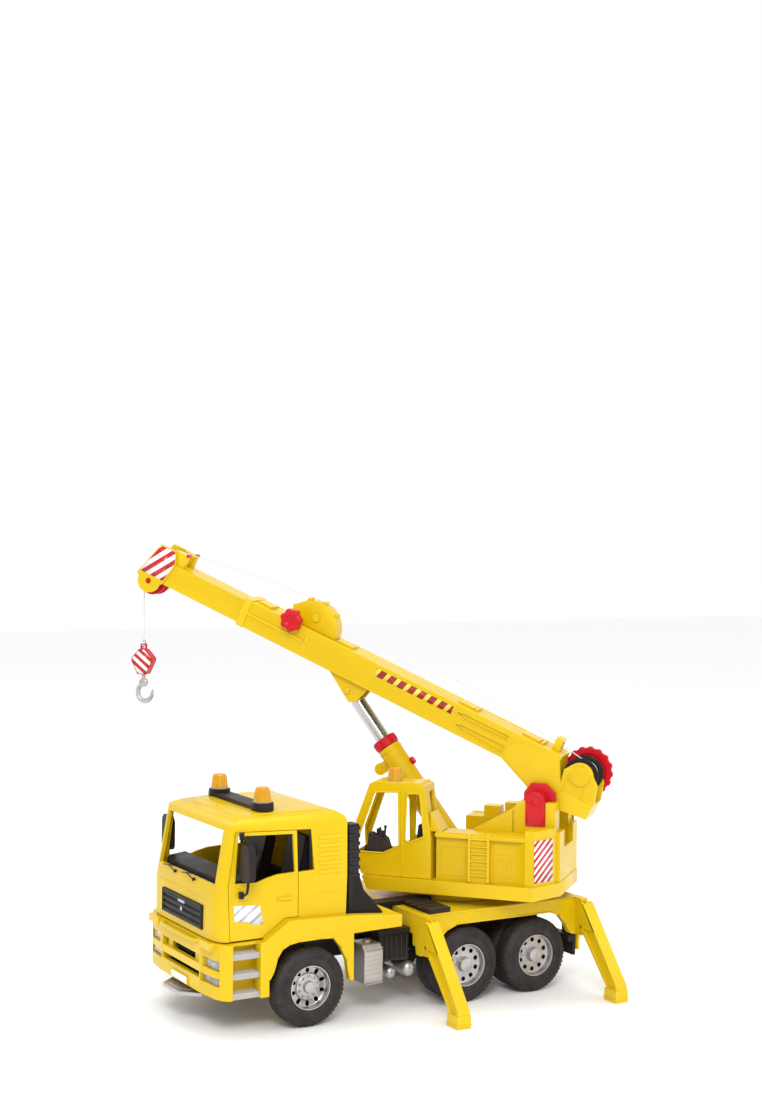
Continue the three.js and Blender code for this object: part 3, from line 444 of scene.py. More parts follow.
def smooth_path(points, steps):
    """A Catmull-Rom curve through points, with steps between each two."""
    points = [Vector(p) for p in points]
    ends = [2 * points[0] - points[1], *points, 2 * points[-1] - points[-2]]
    path = []
    for a, b, c, d in zip(ends, ends[1:], ends[2:], ends[3:]):
        for i in range(steps):
            t = i / steps
            path.append(0.5 * (2 * b + (c - a) * t + (2 * a - 5 * b + 4 * c - d) * t * t
                               + (3 * b - a - 3 * c + d) * t ** 3))
    return [*path, points[-1]]


def bevelled(piece, width):
    edge = piece.modifiers.new("edges", "BEVEL")
    edge.width = width * MM
    edge.segments = 2
    edge.limit_method = "ANGLE"
    edge.angle_limit = math.radians(38)
    edge.harden_normals = True


def shaded(piece):
    piece.data.polygons.foreach_set("use_smooth", [True] * len(piece.data.polygons))
    piece.data.update()


def built(name, solid, place, body, materials, edge, gone=()):
    """Turns gathered shells into a piece on a body, in place of the CAD nodes named in gone."""
    materials = materials if isinstance(materials, tuple) else (materials,)
    piece = linked(name, solid.mesh(name))
    piece.matrix_world = place
    for material in materials:
        piece.data.materials.append(material)
    shaded(piece)
    if edge:
        bevelled(piece, edge)
    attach(piece, body)
    if gone:
        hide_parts(*gone)
    return piece


def carved(piece, cutter):
    """Cuts the cutter's solid out of the piece for good."""
    tool = linked("cutter", cutter.mesh("cutter"))
    for material in piece.data.materials:
        tool.data.materials.append(material)
    tool.matrix_world = piece.matrix_world
    cut = piece.modifiers.new("cut", "BOOLEAN")
    cut.object = tool
    cut.solver = "EXACT"
    piece.modifiers.move(len(piece.modifiers) - 1, 0)
    others = [m for m in piece.modifiers if m != cut]
    for modifier in others:
        modifier.show_viewport = False
    bpy.context.view_layer.update()
    whole = bpy.data.meshes.new_from_object(piece.evaluated_get(bpy.context.evaluated_depsgraph_get()))
    for modifier in others:
        modifier.show_viewport = True
    piece.modifiers.remove(cut)
    piece.data = whole
    bpy.data.objects.remove(tool)
    shaded(piece)


# ---- cord ----
ROPE_R = 0.6
TOP_ROUTE = [(-24, 54.2), (-8, 56.6), (10, 59.3), (60, 64.1), (120, 69.4), (180, 74.5), (240, 79.3),
    (290, 83), (310, 84.1), (330, 83.9), (350, 82.3), (400, 77.3), (450, 70.9), (488, 65.2), (503, 62.9),
    (508.4, 62.4), (512.4, 59.5), (516.4, 53.5), (527, 36), (530.8, 30.6), (534, 27), (536.1, 22.8)]
HOOK_X = 386
DROP_ROUTE = [(HOOK_X, 0, 425.6), (HOOK_X, 0, 390), (HOOK_X, 0, 361.6)]


def cord(name, route, place, node_name):
    """One stretch of the cord: a tube along the route, in place of the CAD node."""
    steps = max(2, 60 // len(route))
    path = smooth_path(route, steps)
    piece = linked(name, Solid().tube(path, ROPE_R, 10).mesh(name))
    piece.matrix_world = place
    piece.data.materials.append(CORD)
    shaded(piece)
    bpy.context.view_layer.update()
    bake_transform(piece)
    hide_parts(node_name)


cord("cord_top", [(u, 0, v) for u, v in TOP_ROUTE], BOOM,
     "rope_top")
cord("cord_drop", DROP_ROUTE, SUPER,
    "rope_drop")


# ---- wheels ----
TYRE_OUT = 92.5  # outer face of every tyre, from the centreline
BLOCKS = 54  # tread blocks round a tyre
# offset of the rim's and the tyre's inner end
AXLES = {"front": (69.5, 68.5), "middle": (49.5, 48.5), "rear": (49.5, 48.5)}


def tyre_profile(inner, double):
    """(radius, offset) round the section, from the bead on the outer face."""
    out = TYRE_OUT
    outer_wall = [(22.8, out - 0.8), (23.4, out - 0.2), (25.4, out), (26, out - 0.5), (28, out - 0.3),
        (33.4, out), (34, out - 0.5), (36.2, out - 1.3), (38.4, out - 3), (39.3, out - 5)]
    if not double:
        tread = [(39.5, out - 8), (39.5, out - 9.4), (38.4, out - 9.9), (38.4, inner + 9.9),
            (39.5, inner + 9.4), (39.5, inner + 8)]
    else:
        mid = (out + inner) / 2
        tread = [(39.5, out - 8), (39.5, mid + 5), (38.6, mid + 3), (34, mid + 1.6), (34, mid - 1.6),
            (38.6, mid - 3), (39.5, mid - 5), (39.5, inner + 8)]
    inner_wall = [(39.3, inner + 5), (38.4, inner + 3), (36.2, inner + 1.3), (33.4, inner),
        (25.4, inner), (22.8, inner + 0.8)]
    return [*outer_wall, *tread, *inner_wall]


def tyre(name, inner, side, axle, place):
    middle, half = (inner + TYRE_OUT) / 2, (TYRE_OUT - inner) / 2

    def grooved(radius, y, step):
        """Grooves across the tread, staggered between its two halves."""
        offset = abs(y)
        if radius < 35.5 or abs(offset - middle) / half < 0.3:
            return radius
        return radius - (1.15 if step % 4 == (0 if offset > middle else 2) else 0)

    profile = [(r, y * side) for r, y in tyre_profile(inner, inner < 60)]
    solid = Solid().closed_turn(profile, "y", 0, 0, BLOCKS * 4, grooved)
    edge = (TYRE_OUT - 0.35) * side
    for r in (30.2, 31.4):
        solid.closed_turn([(r - 0.25, edge), (r, edge + 0.45 * side), (r + 0.25, edge)], "y", 0, 0, 96)
    node_name = f"{axle}_tyre_{name}"
    built(f"{node_name}_tread", solid, place, f"{axle}_wheels", TYRE, 0, (node_name,))


RIM_LIP = [(21, 91.9), (21.9, 91.9), (22.3, 91.2), (22.3, 89.6)]
FRONT_RIM = [(0, 90.6), (3.6, 90.6), (5.2, 90), (6, 88.4), (6.2, 86.9), (12.4, 86.9), (13.2, 86.3),
    (13.8, 84.8), (14.6, 84.2), (19, 84.2), (20, 85), (20.5, 90.6), *RIM_LIP]
REAR_RIM = [(0, 92), (5.4, 92), (6, 91.6), (6.4, 91.6), (7, 91.2), (7.3, 90), (7.4, 86), (8, 85.2),
    (18.6, 84.6), (19.8, 85.4), (20.4, 90.6), *RIM_LIP]
RIM_HOLES = 10
NUT_CIRCLE = 10.6
NUT = ((0, 0), (1.6, 0), (1.6, 0.5), (1.2, 0.6), (1.2, 2.6), (0.84, 3), (0, 3))


def rim_half(solid, side, front, inner):
    profile = FRONT_RIM if front else REAR_RIM
    full = [*profile, (22.3, inner), (3, inner), (3, 0), (0, 0)]
    solid.turn([(r, y * side) for r, y in full], "y", 0, 0, 96)
    base = (86.9 if front else 85) * side
    for x, z in ring_of(RIM_HOLES, NUT_CIRCLE, 0.5):
        solid.turn([(r, base + y * side) for r, y in NUT], "y", x, z, 6)


def rim_holes(front, side):
    """Holes through the rim's web: long ones in front, round ones behind."""
    cutter = Solid()
    for i in range(RIM_HOLES):
        turn = math.tau * (i + 0.5) / RIM_HOLES
        c, s = math.cos(turn), math.sin(turn)
        length, width, r = (1.8, 2.0, 16.9) if front else (0.01, 2.4, 15.6)
        slot = arc(length / 2, 0, width, -90, 90, 8) + arc(-length / 2, 0, width, 90, 270, 8)
        outline = [((r + out) * c - along * s, (r + out) * s + along * c) for out, along in slot]
        low, high = (77, 95) if front else (73, 95)
        cutter.prism(outline, "y", low * side, high * side, 1)
    return cutter


def wheels():
    for axle, (rim_in, tyre_in) in AXLES.items():
        front = axle == "front"
        place = Matrix.Translation(joint_point(f"{axle}_wheels_roll"))
        place.translation.y = TRUCK.translation.y
        for name, side in SIDES:
            tyre(name, tyre_in, side, axle, place)
            solid = Solid()
            rim_half(solid, side, front, rim_in)
            gone = (f"{axle}_wheelset",) if side > 0 else ()
            rim = built(f"{axle}_rim_{name}", solid, place, f"{axle}_wheels", (SILVER, BLACK), 0.2, gone)
            carved(rim, rim_holes(front, side))


wheels()


# ---- CAD solids that stay: bevelled edges and a better material ----
def finished(name, material, edge):
    solid = frame["nodes"][name]
    if "custom_normal" in solid.data.attributes:
        solid.data.attributes.remove(solid.data.attributes["custom_normal"])
    weld = solid.modifiers.new("weld", "WELD")
    weld.merge_threshold = 0.00002
    flat = solid.modifiers.new("flat", "DECIMATE")
    flat.decimate_type = "DISSOLVE"
    flat.angle_limit = math.radians(0.6)
    bevelled(solid, edge)
    shaded(solid)
    solid.data.materials.clear()
    solid.data.materials.append(material)


KEPT = {  # CAD nodes by material, with the width of their bevels
    YELLOW: {"rear_deck": 0.6, "lower_body_front": 0.7, "turntable_ring": 0.5, "cab_shell": 0.9,
             "door_left": 0.5, "door_right": 0.5, "superstructure_base": 0.6, "crane_cab": 0.7,
             "outer_boom": 0.6, "gear_housing": 0.7, "inner_boom": 0.5},
    BLACK: {"chassis_frame": 0.5, "walkway_plate": 0.4, "intake_stack": 0.6, "battery_box": 0.8,
            "cab_interior": 1.0, "crane_cab_interior": 0.9, "grille": 0.4, "light_bar": 0.9,
            "mirror_left": 0.5, "mirror_right": 0.5},
    DARK: {"engine_block": 1.0},
    SILVER: {"fuel_tank": 1.4, "fuel_tank_right": 1.4},
    RED: {"cab_latch": 0.6, "pivot_cover_left": 0.9, "pivot_cover_right": 0.9, "release_button": 0.5,
          "hook_block": 0.5},
    STEEL: {"boom_pivot_pin": 0.4},
}
for material, nodes in KEPT.items():
    for name, edge in nodes.items():
        finished(name, material, edge)


# ---- lorry ----
CAB_HALF = 84  # half the cab's width below the window line
WINDOW_LINE = 147
ROOF_Z = WINDOW_LINE + 61  # where the leaning sides end
LEAN = 4  # each side leans in by this much from the window line to the roof


def cab_wall(z):
    """Half the cab's width at that height."""
    return CAB_HALF - LEAN * max(0, z - WINDOW_LINE) / (ROOF_Z - WINDOW_LINE)


def cab_details():
    lips = Solid()
    for x, z in ((56, 211), (64.5, 209.4), (72.5, 207.1)):
        lips.rod("y", -50, 50, x, z, 1.0, 12, crown=0.6)
    for side in (1, -1):
        for y, z in ((64.6, 210.6), (71.6, 208.8)):
            lips.rod("x", -24, 52, y * side, z, 1.0, 12, crown=0.6)
        for z in (150, 158.5, 167, 175.5, 184):
            outline = [(-38, z), (-13.5, z), (-12.5, z + 1.6), (-13.5, z + 3.4), (-38, z + 3.4)]
            lips.prism(outline, "y", *flank(cab_wall(z) - 0.6, cab_wall(z) + 0.75, side))
        lips.block(-41.5, -7.6, *flank(83.6, 84.45, side), 130.9, 132)
    lips.block(97.2, 98.35, -61, 61, 130.7, 131.7)
    built("cab_ribs", lips, TRUCK, "cab", YELLOW, 0.25)

    trim = Solid()
    for y in (24, -22):
        trim.rod("x", 95.6, 98.4, y, 144.2, 1.7, 16)
        trim.tube([(97.6, y, 144.2), (97, y - 9, 145.6), (96.2, y - 20, 147)], 0.6, 8)
        trim.tube([(96.6, y - 31, 145.8), (96.1, y - 20, 147.2), (95.7, y - 7, 148.4)], 0.6, 8)
    for side in (1, -1):
        trim.block(-6.5, -3.6, *flank(79.2, 80.8, side), 154.5, 194.6)
    built("cab_wipers", trim, TRUCK, "cab", BLACK, 0.2)

    badge = Solid()
    badge.block(99.3, 99.8, -8, 8, 116.6, 119.4)
    badge.rod("x", 99.3, 99.9, 0, 110.6, 2.4, 32)
    built("grille_badge", badge, TRUCK, "cab", SILVER, 0.2)

    slats = Solid()
    for z in (101.2, 107.2, 113.2, 119):
        slats.block(98.6, 99.75, -47, 47, z, z + 1.1)
    slats.block(98.6, 100, -48.6, 48.6, 121.9, 123)
    for y in (-48.2, 48.2):
        slats.block(98.6, 100, y - 0.6, y + 0.6, 99.6, 122.4)
    built("grille_slats", slats, TRUCK, "cab", BLACK, 0.25)


def door_details(name, side):
    plate = [(49, 107), (53, 125.5), (81, 127.5), (80, 112), (66, 110), (58, 106.4)]
    foil = Solid().prism(plate, "y", *flank(83.95, 84.2, side))
    built(f"door_stripes_{name}", foil, TRUCK, f"door_{name}", DOOR_BARS, 0)
    fittings = Solid()
    fittings.block(18, 34, *flank(83.8, 85.4, side), 127.6, 131.4)
    fittings.block(19.2, 32.8, *flank(84.8, 86.6, side), 128.6, 130.4)
    sill = [(13, 151), (34, 150.2), (45, 147.9), (56, 144.3), (80, 145.2)]
    for (x0, z0), (x1, z1) in zip(sill, sill[1:]):
        fittings.tube([(x0, cab_wall(z0) * side, z0), (x1, cab_wall(z1) * side, z1)], 0.8, 10)
    built(f"door_fittings_{name}", fittings, TRUCK, f"door_{name}", YELLOW, 0.3)
    pillar = Solid().block(11.8, 14.6, *flank(79.6, 80.9, side), 154.8, 191.4)
    pillar.tube([(86.5, 80.3 * side, 147.6), (78.6, 76.6 * side, 195)], 1.0, 8)
    built(f"door_pillar_{name}", pillar, TRUCK, f"door_{name}", BLACK, 0.3)
    face = ((90, 157), (104.5, 154.6), (106.4, 158.6), (105.4, 183.6), (102.4, 187), (92.6, 185.6),
            (89.6, 181.4))
    glass = Solid().prism([(y * side, z) for y, z in face], "x", 68.5, 69.2)
    built(f"mirror_glass_{name}", glass, TRUCK, f"mirror_{name}", CHROME, 0.2)


STEP_TOPS = (81, 62, 43)
LAMPS = ((53, 83.4, 65, 75), (48, 83.6, 50, 58))  # low and high Y, low and high Z


def front_details(name, side):
    treads = Solid()
    for top in STEP_TOPS:
        treads.block(55.6, 86.7, *flank(76.4, 90.1, side), top - 5.2, top + 0.3)
        for i in range(3):
            y = (79 + 3.6 * i) * side
            treads.block(57, 85.2, y - 0.7, y + 0.7, top, top + 0.9)
        for i in range(2):
            treads.block(56, 86.3, *flank(89.8, 90.7, side), top - 4.2 + 2.4 * i, top - 3.2 + 2.4 * i)
    built(f"step_treads_{name}", treads, TRUCK, "chassis", GREY, 0.3)
    bulbs, glass = Solid(), Solid()
    for y0, y1, z0, z1 in LAMPS:
        mid = (z0 + z1) / 2
        count = 3 if z1 - z0 > 9 else 2
        plan = ((94.2, y0 + 0.8), (95.9, y0 + 0.8), (95.4, 77.4), (92.2, y1 - 1.2), (90.6, y1 - 1.6),
                (93.6, 77))
        glass.prism([(x, y * side) for x, y in plan], "z", z0 + 0.7, z1 - 0.7)
        bulbs.block(86.4, 88.2, *flank(y0 + 0.4, y1 - 0.6, side), z0 + 0.4, z1 - 0.4)
        for i in range(count):
            y = (y0 + 5.4 + i * (y1 - y0 - 10.4) / max(1, count - 1)) * side
            r = (z1 - z0) / 2 - 0.9
            front = 93.6 if abs(y) < 76 else 91.2
            dish = [(0, 88), (r * 0.45, 88), (r, front - 0.6), (r, front), (r - 0.5, front),
                    (r * 0.4, 89.4), (0, 89.4)]
            bulbs.turn(dish, "x", y, mid, 32)
            bulbs.turn([(0, 89), (1.3, 89), (1.3, 91.4), (0.8, 92.2), (0, 92.4)], "x", y, mid, 16)
    built(f"lamp_reflectors_{name}", bulbs, TRUCK, "chassis", CHROME, 0.15, (f"headlight_{name}",))
    built(f"lamp_glass_{name}", glass, TRUCK, "chassis", CLEAR, 0.3)
    tank = Solid()
    face = flank(87.6, 88.5, side)
    for i in range(8):
        low = 33.6 + i * 4.7
        rib = [(-84.2, low), (-63.8, low - 1.1), (-63.8, low - 0.2), (-84.2, low + 0.9)]
        tank.prism(rib, "y", *face)
    tank.prism([(-84.2, 69), (-64, 66.6), (-64, 67.5), (-84.2, 69.9)], "y", *face)
    tank.rod("z", 72.6, 75, -74, 72 * side, 4.2, 32)
    for z in (38, 66):
        tank.block(-85.5, -62.6, *flank(59, 60.4, side), z - 1, z + 1)
    built(f"tank_ribs_{name}", tank, TRUCK, "chassis", SILVER, 0.2)


def chassis_details():
    plate = Solid().block(101.3, 101.9, -19, 19, 39, 45.8)
    built("number_plate", plate, TRUCK, "chassis", WHITE, 0.3)
    skid_plan = [(110.2, -20.2), (110.2, 20.2), (92, 36.4), (83.6, 20.2), (83.6, -20.2), (92, -36.4)]
    skid = Solid().prism(skid_plan, "z", 29.2, 32.9)
    for low in (32.7, 28.4):
        skid.prism([(106, -13), (106, 13), (95, 24), (95, -24)], "z", low, low + 1)
    built("bumper_skid", skid, TRUCK, "chassis", SILVER, 0.5)
    # A black plate behind the bumper's openings is painted shade for the dark inside them; grille bars
    # are laid on it.
    mesh = Solid().block(88.6, 90.2, -46.4, 46.4, 41.5, 75.6)
    for z in (44.2, 47.2, 50.2, 53.2, 56.2, 67.6, 70, 72.4):
        mesh.block(90, 92.6, -46.2, 46.2, z - 0.5, z + 0.5)
    for i in range(9):
        mesh.block(90, 92, -41 + 10.2 * i, -40 + 10.2 * i, 42, 75)
    built("bumper_bars_and_shade_plate", mesh, TRUCK, "chassis", BLACK, 0.2)
    bar = [(97.6, -44, 88), (101, -43.2, 88), (103.4, -38, 87.6), (104, 0, 87.2), (103.4, 38, 87.6),
           (101, 43.2, 88), (97.6, 44, 88)]
    built("bumper_step", Solid().tube(smooth_path(bar, 6), 2.1, 12), TRUCK, "chassis", YELLOW, 0)
    tanks = Solid()
    for x, z, r, end in ((-104, 37, 6, 74), (-125.5, 38.5, 8, 76)):
        bottle = [(0, end - 45), (r * 0.7, end - 44), (r, end - 40), (r + 0.35, end - 39),
                  (r + 0.35, end - 37.5), (r, end - 37)]
        rise = r * 0.8  # height of the domed end
        for t in (0, 0.25, 0.5, 0.75, 1, 1.25, 1.45):
            bottle.append((r * math.cos(t), end - rise + rise * math.sin(t)))
        tanks.turn([*bottle, (0, end)], "y", x, z, 48)
        tanks.rod("y", end - 0.8, end + 0.9, x, z, 1.5, 16)
    tanks.block(-125, -104, 46, 52, 37, 41).block(-114, -106, 44, 54, 38, 48.6)
    built("air_bottles", tanks, TRUCK, "chassis", SILVER, 0.3, ("air_tanks",))
    ribs = Solid()
    for i in range(6):
        x = -121.5 + i * 6
        ribs.block(x - 0.8, x + 0.8, 71.6, 72.8, 52, 75)
    ribs.block(-124.3, -88.7, 71.4, 72.4, 50, 51.6)
    for x in (-116, -97):
        ribs.rod("z", 81.6, 84, x, 56, 3.2, 24)
    built("battery_ribs", ribs, TRUCK, "chassis", DARK, 0.25)
    grip = Solid()
    for i in range(9):
        for j in range(3):
            x, y = -135 - i * 3.1, 50 + j * 12.5
            grip.block(x - 1, x + 1, y - 4.5, y + 4.5, 101.9, 102.5)
    built("walkway_grip", grip, TRUCK, "chassis", BLACK, 0.2)
    seams = Solid()
    for side in (1, -1):
        mudguard = [(-140.6, 56), (-142.4, 62.6), (-148.8, 70), (-158.6, 78.6), (-172, 84.1),
                    (-291, 84.1), (-303.6, 79), (-311.8, 68.8), (-317.4, 58.6)]
        seams.beads(mudguard, 91 * side, 0.85)
        seams.block(-322.5, -137, *flank(90.6, 91.5, side), 95.4, 96.6)
        for x in (-131.8, -327.2):
            for z in (60, 88):
                seams.block(x - 3.4, x + 3.4, *flank(102, 103, side), z - 0.6, z + 0.6)
        arch = [(-44, 42), (-40.6, 62.1), (-34, 76), (-25.6, 86.9), (-12, 87.6), (13.6, 87.3),
                (24, 85.7), (32.2, 81.6), (37.6, 73.5), (40.6, 62.9), (43, 57.6), (46.4, 52.8)]
        seams.beads(arch, 92.3 * side, 0.9)
    built("body_edges", seams, TRUCK, "chassis", YELLOW, 0)


def beacon(place, x, y, low, top, r, body, node_name):
    """A ribbed amber cap with a lamp inside it, on a pale base ring."""
    height = top - low
    ribs = 24

    def ribbed(radius, h, step):
        return radius * (1.025 if step % 4 < 2 and low + 2 < h < top - 1.5 else 1.0)

    shell = [(0, top), (r * 0.62, top), (r * 0.72, top - 0.7), (r * 0.78, top - 2.2),
             (r * 0.92, low + 3), (r * 0.99, low + 2), (r * 0.99, low + 0.2), (r * 0.86, low + 0.2),
             (r * 0.8, low + 3), (r * 0.66, top - 2.2), (r * 0.55, top - 1.4), (0, top - 1.4)]
    cap = Solid().turn(shell, "z", x, y, ribs * 4, ribbed)
    built(f"{node_name}_cap", cap, place, body, AMBER, 0, (node_name,))
    bulb = [(0, low + 0.2), (r * 0.5, low + 0.2), (r * 0.34, low + 2.5), (r * 0.3, low + height * 0.55),
            (r * 0.2, low + height * 0.68), (0, low + height * 0.72)]
    built(f"{node_name}_lamp", Solid().turn(bulb, "z", x, y, 32), place, body, CHROME, 0)
    rim = [(r * 0.9, low - 0.1), (r * 1.06, low - 0.1), (r * 1.02, low + 1.2), (r * 0.9, low + 1.4)]
    built(f"{node_name}_ring", Solid().closed_turn(rim, "z", x, y, 64), place, body, CLEAR, 0)


cab_details()
for name, side in SIDES:
    door_details(name, side)
    front_details(name, side)
chassis_details()
for name, side in SIDES:
    beacon(TRUCK, 34.8, 51 * side, 220.3, 235.4, 9.2, "cab", f"beacon_{name}")
beacon(SUPER, 53, 61, 222.3, 237, 8.8, "superstructure", "crane_beacon")


# ---- outriggers ----
LEG_X = {"front": -131, "rear": -327}
LEG_HALF = 6.9  # half a leg's thickness along X
HINGE_Y, HINGE_Z = 106, 91


def outrigger_leg(name, x, side):
    """A leg with a shallow channel down its front face, its hinge eye, pin and foot."""
    near, far = x - LEG_HALF, x + LEG_HALF
    web = x + 4.6  # the channel's floor

    def strip(points, low, high):
        leg.prism([(y * side, z) for y, z in points], "x", low, high)

    leg = Solid()
    slab = [(104.6, 92.2), (103.2, 68.2), (150.6, 14), (150, 12.4), (168, 12.4), (168, 17), (109.2, 93)]
    outer = [(106.9, 92.4), (109.3, 93.2), (168.3, 17.2), (168.3, 12.4), (165.4, 12.4), (165.4, 16.4)]
    inner = [(103, 67.5), (105, 69.9), (152.6, 16.2), (152.6, 12.4), (149.7, 12.4), (151, 14)]
    strip(slab, near, web)
    strip(outer, near, far)
    strip(inner, near, far)
    cheek = [*arc(HINGE_Y, HINGE_Z, 3, 60, 190, 8), (103, 68), (104.6, 66), (130, 66)]
    for low, high, boss in ((near, x - 3.4, -0.4), (x + 3.4, far, 0.4)):
        strip(cheek, low, high)
        leg.rod("x", low + min(boss, 0), high + max(boss, 0), HINGE_Y * side, HINGE_Z, 1.9, 20)
    leg.rod("x", x - 3.6, x + 3.6, HINGE_Y * side, HINGE_Z, 1.4, 20)
    leg.block(x - 7.9, x + 7.9, *flank(149.1, 168.9, side), 0, 12.9)
    leg.block(x - 8.5, x + 8.5, *flank(148.5, 169.5, side), 3.2, 4.6)
    for y in (152.4, 163.4):
        strip([(y, 12.6), (y + 2, 12.6), (y + 2, 15.4), (y, 15.4)], x - 7, far)
    built(f"{name}_leg", leg, TRUCK, name, YELLOW, 0.3, (name,))


for end, x in LEG_X.items():
    for name, side in SIDES:
        outrigger_leg(f"outrigger_{end}_{name}", x, side)


# ---- superstructure ----
WINDOWS = (  # the crane cab's side windows, (x, z)
    ((71.4, 211.5), (44.2, 213), (43, 155.3), (60.7, 146.5), (89.1, 146.4), (91.7, 152), (87.8, 165.3)),
    ((35, 211.7), (20.2, 212.6), (15.3, 166.8), (32, 159.4), (36.7, 162.5)),
)


def superstructure_details():
    lips = Solid()
    for outline in WINDOWS:
        lips.beads(outline, 76, 1.0, 10, True)
    lips.block(38.7, 40.6, 75.6, 76.8, 124, 214)
    for x in (-55.8, -35.2):
        lips.block(x - 1.2, x + 1.2, 75.4, 78.8, 123, 173.4)
    for i in range(6):
        lips.rod("x", -56, -35, 77.4, 130 + 7.6 * i, 1.0, 12)
    for i in range(13):
        x = -82.6 + i * 1.8
        lips.block(x - 0.5, x + 0.5, 70.6, 71.7, 128, 149)
    for x0, x1, z0, z1 in ((-29, -3, 128, 158), (-82, -61, 153, 164)):
        outline = ((x0, z0), (x0, z1), (x1, z1), (x1, z0))
        lips.beads(outline, 71, 0.7, closed=True)
    for side in (1, -1):
        lips.block(-97, 3, *flank(70, 72.6, side), 171.2, 173)
        lips.block(-74.5, -72.6, *flank(31.5, 43, side), 172, 196)
    for x in (10, 26, 42, 58):
        lips.block(x - 1, x + 1, -72, -34, 137.6, 139.2)
    lips.block(18.6, 72.4, 44, 75.4, 221.4, 222.8)
    lips.block(19.4, 30, 43.5, 76.2, 221.4, 223.6)
    built("superstructure_edges", lips, SUPER, "superstructure", YELLOW, 0.25)

    for name, side in SIDES:
        near, far = Vector((-105.1, 76.4)), Vector((-118.7, 51.6))
        out = Vector((-(near.y - far.y), near.x - far.x)).normalized()
        outline = [near + out * 0.05, far + out * 0.05, far + out * 0.4, near + out * 0.4]
        foil = Solid().prism([(p.x, p.y * side) for p in outline], "z", 126, 170)
        built(f"hazard_{name}", foil, SUPER, "superstructure", HAZARD, 0)
        seam = Solid()
        path = arc(-97.5, 206, 8.6, 0, 180, 16)
        path = [(path[0][0], 184), *path, (path[-1][0], 184)]
        seam.beads(path, 45 * side, 0.7)
        seam.rod("y", *flank(44.6, 46, side), -97.5, 206, 4.2, 32)
        built(f"pivot_cover_seam_{name}", seam, SUPER, "superstructure", RED, 0)

    controls = Solid()
    controls.prism([(60, 146), (64, 158), (72, 163.5), (79, 162), (82, 148)], "y", 46.5, 71.5)
    controls.tube([(64, 63, 158), (63.6, 63, 166), (63, 63, 172)], 1.2, 12)
    controls.turn([(0, 171), (1.5, 171.4), (1.7, 173), (1.1, 174), (0, 174.2)], "z", 63, 63, 20)
    for x, y in ((71, 55), (77, 65)):
        controls.turn([(0, 158), (4.6, 158), (4.6, 164), (3.2, 166.4), (0, 167)], "z", x, y, 28)
    for i in range(4):
        controls.block(25 + i * 5.4, 29 + i * 5.4, 49.5, 68.5, 145.6, 147)
    built("crane_controls", controls, SUPER, "superstructure", DARK, 0.3)


superstructure_details()


# ---- boom ----
DRUM = (-27, 40.6)  # the drum's axis in the BOOM frame, (x, z)
SHEAVE = (521.8, 18.6)
RAM_PIN = (249.9, 7.2)
KNOB = (337.5, 54.5)
GEAR = (319.5, 51.8)  # centre of the round gear housing
GEAR_RIM_R = 31.8


def boom_details():
    lips = Solid()
    for side in (1, -1):
        lips.rod("x", 1, 399, 18.7 * side, 51.3, 0.9, 10, crown=0.4)
        lips.rod("x", 60, 399, 19.3 * side, 21.4, 0.7, 10, crown=0.3)
        plate = [(0.5, 49.5), (50, 44.5), (57, 33), (57, 22.6), (19.5, 6.5), (5.5, -7.6), (-8.6, -7.6),
            (-19, -1), (-14, 18), (-1, 44)]
        lips.prism(plate, "y", *flank(19, 20.1, side))
        lips.block(392, 400.6, *flank(19.2, 20.6, side), 19.6, 52.4)
        for i in range(5):
            u = 244 + i * 15
            lips.block(u, u + 7, *flank(19.2, 19.9, side), 42.4, 43.6)
            lips.block(u - 6, u + 1, *flank(19.2, 19.9, side), 28, 29.2)
        for v in (26, 36):
            lips.block(312, 316, *flank(19.2, 20.2, side), v, v + 8)
        head = ((0, 12.8), (3.9, 12.8), (3.7, 14.4), (2, 15.4), (0, 15.7))
        lips.turn([(r, y * side) for r, y in head], "y", *RAM_PIN, 32)
        hub = ((0, 21), (10.4, 21), (10.2, 22), (9, 22.4), (0, 22.4))
        lips.turn([(r, y * side) for r, y in hub], "y", *DRUM, 48)
        tail = [(-16.6, 19.6), (-52, 17.4), (-51.8, 1.8), (-22.4, -2), (-12, 8)]
        lips.prism(tail, "y", *flank(19, 20.2, side))
        for rib in (((-15.4, 34), (-17, 20)), ((-37.6, 32), (-38.4, 19))):
            lips.beads(rib, 19.6 * side, 0.9)
        pockets = (((60, 39.5), (112, 38.6), (126, 44), (112, 46), (60, 46)),
                   ((60, 24.4), (112, 27), (122, 31), (112, 33.6), (60, 34)))
        for pocket in pockets:
            lips.beads(pocket, 19.6 * side, 0.8, closed=True)
    lips.block(392, 400.6, -20, 20, 51, 53)
    for u in (24, 105, 264, 345, 371):
        lips.block(u, u + 3, -12, 12, 51, 54.2)
    for u, v in arc(*GEAR, GEAR_RIM_R, 28, 130, 3):
        lips.rod("y", -6, -1.4, u, v, 2.6, 12)
        lips.rod("y", 1.4, 6, u, v, 2.6, 12)
    built("boom_edges", lips, BOOM, "boom", YELLOW, 0.25)

    for name, side in SIDES:
        foil = Solid().block(129, 226, *flank(19.45, 19.75, side), 38.6, 47.4)
        built(f"boom_stripes_{name}", foil, BOOM, "boom", BOOM_BARS, 0)
        cheek = [(503.4, 62.8), (522.6, 62.7), (536.8, 26), (505, 26), (499.4, 45), (498.8, 51)]
        foil = Solid().prism(cheek, "y", *flank(18.45, 18.8, side))
        built(f"head_hazard_{name}", foil, BOOM, "inner_boom", HAZARD_HEAD, 0)
    head = Solid()
    for side in (1, -1):
        head.rod("y", *flank(18, 19.6, side), *SHEAVE, 2.6, 24)
        head.block(487.4, 490, *flank(7.6, 15.6, side), 63, 66.2)
    built("head_pins", head, BOOM, "inner_boom", RED, 0.3)


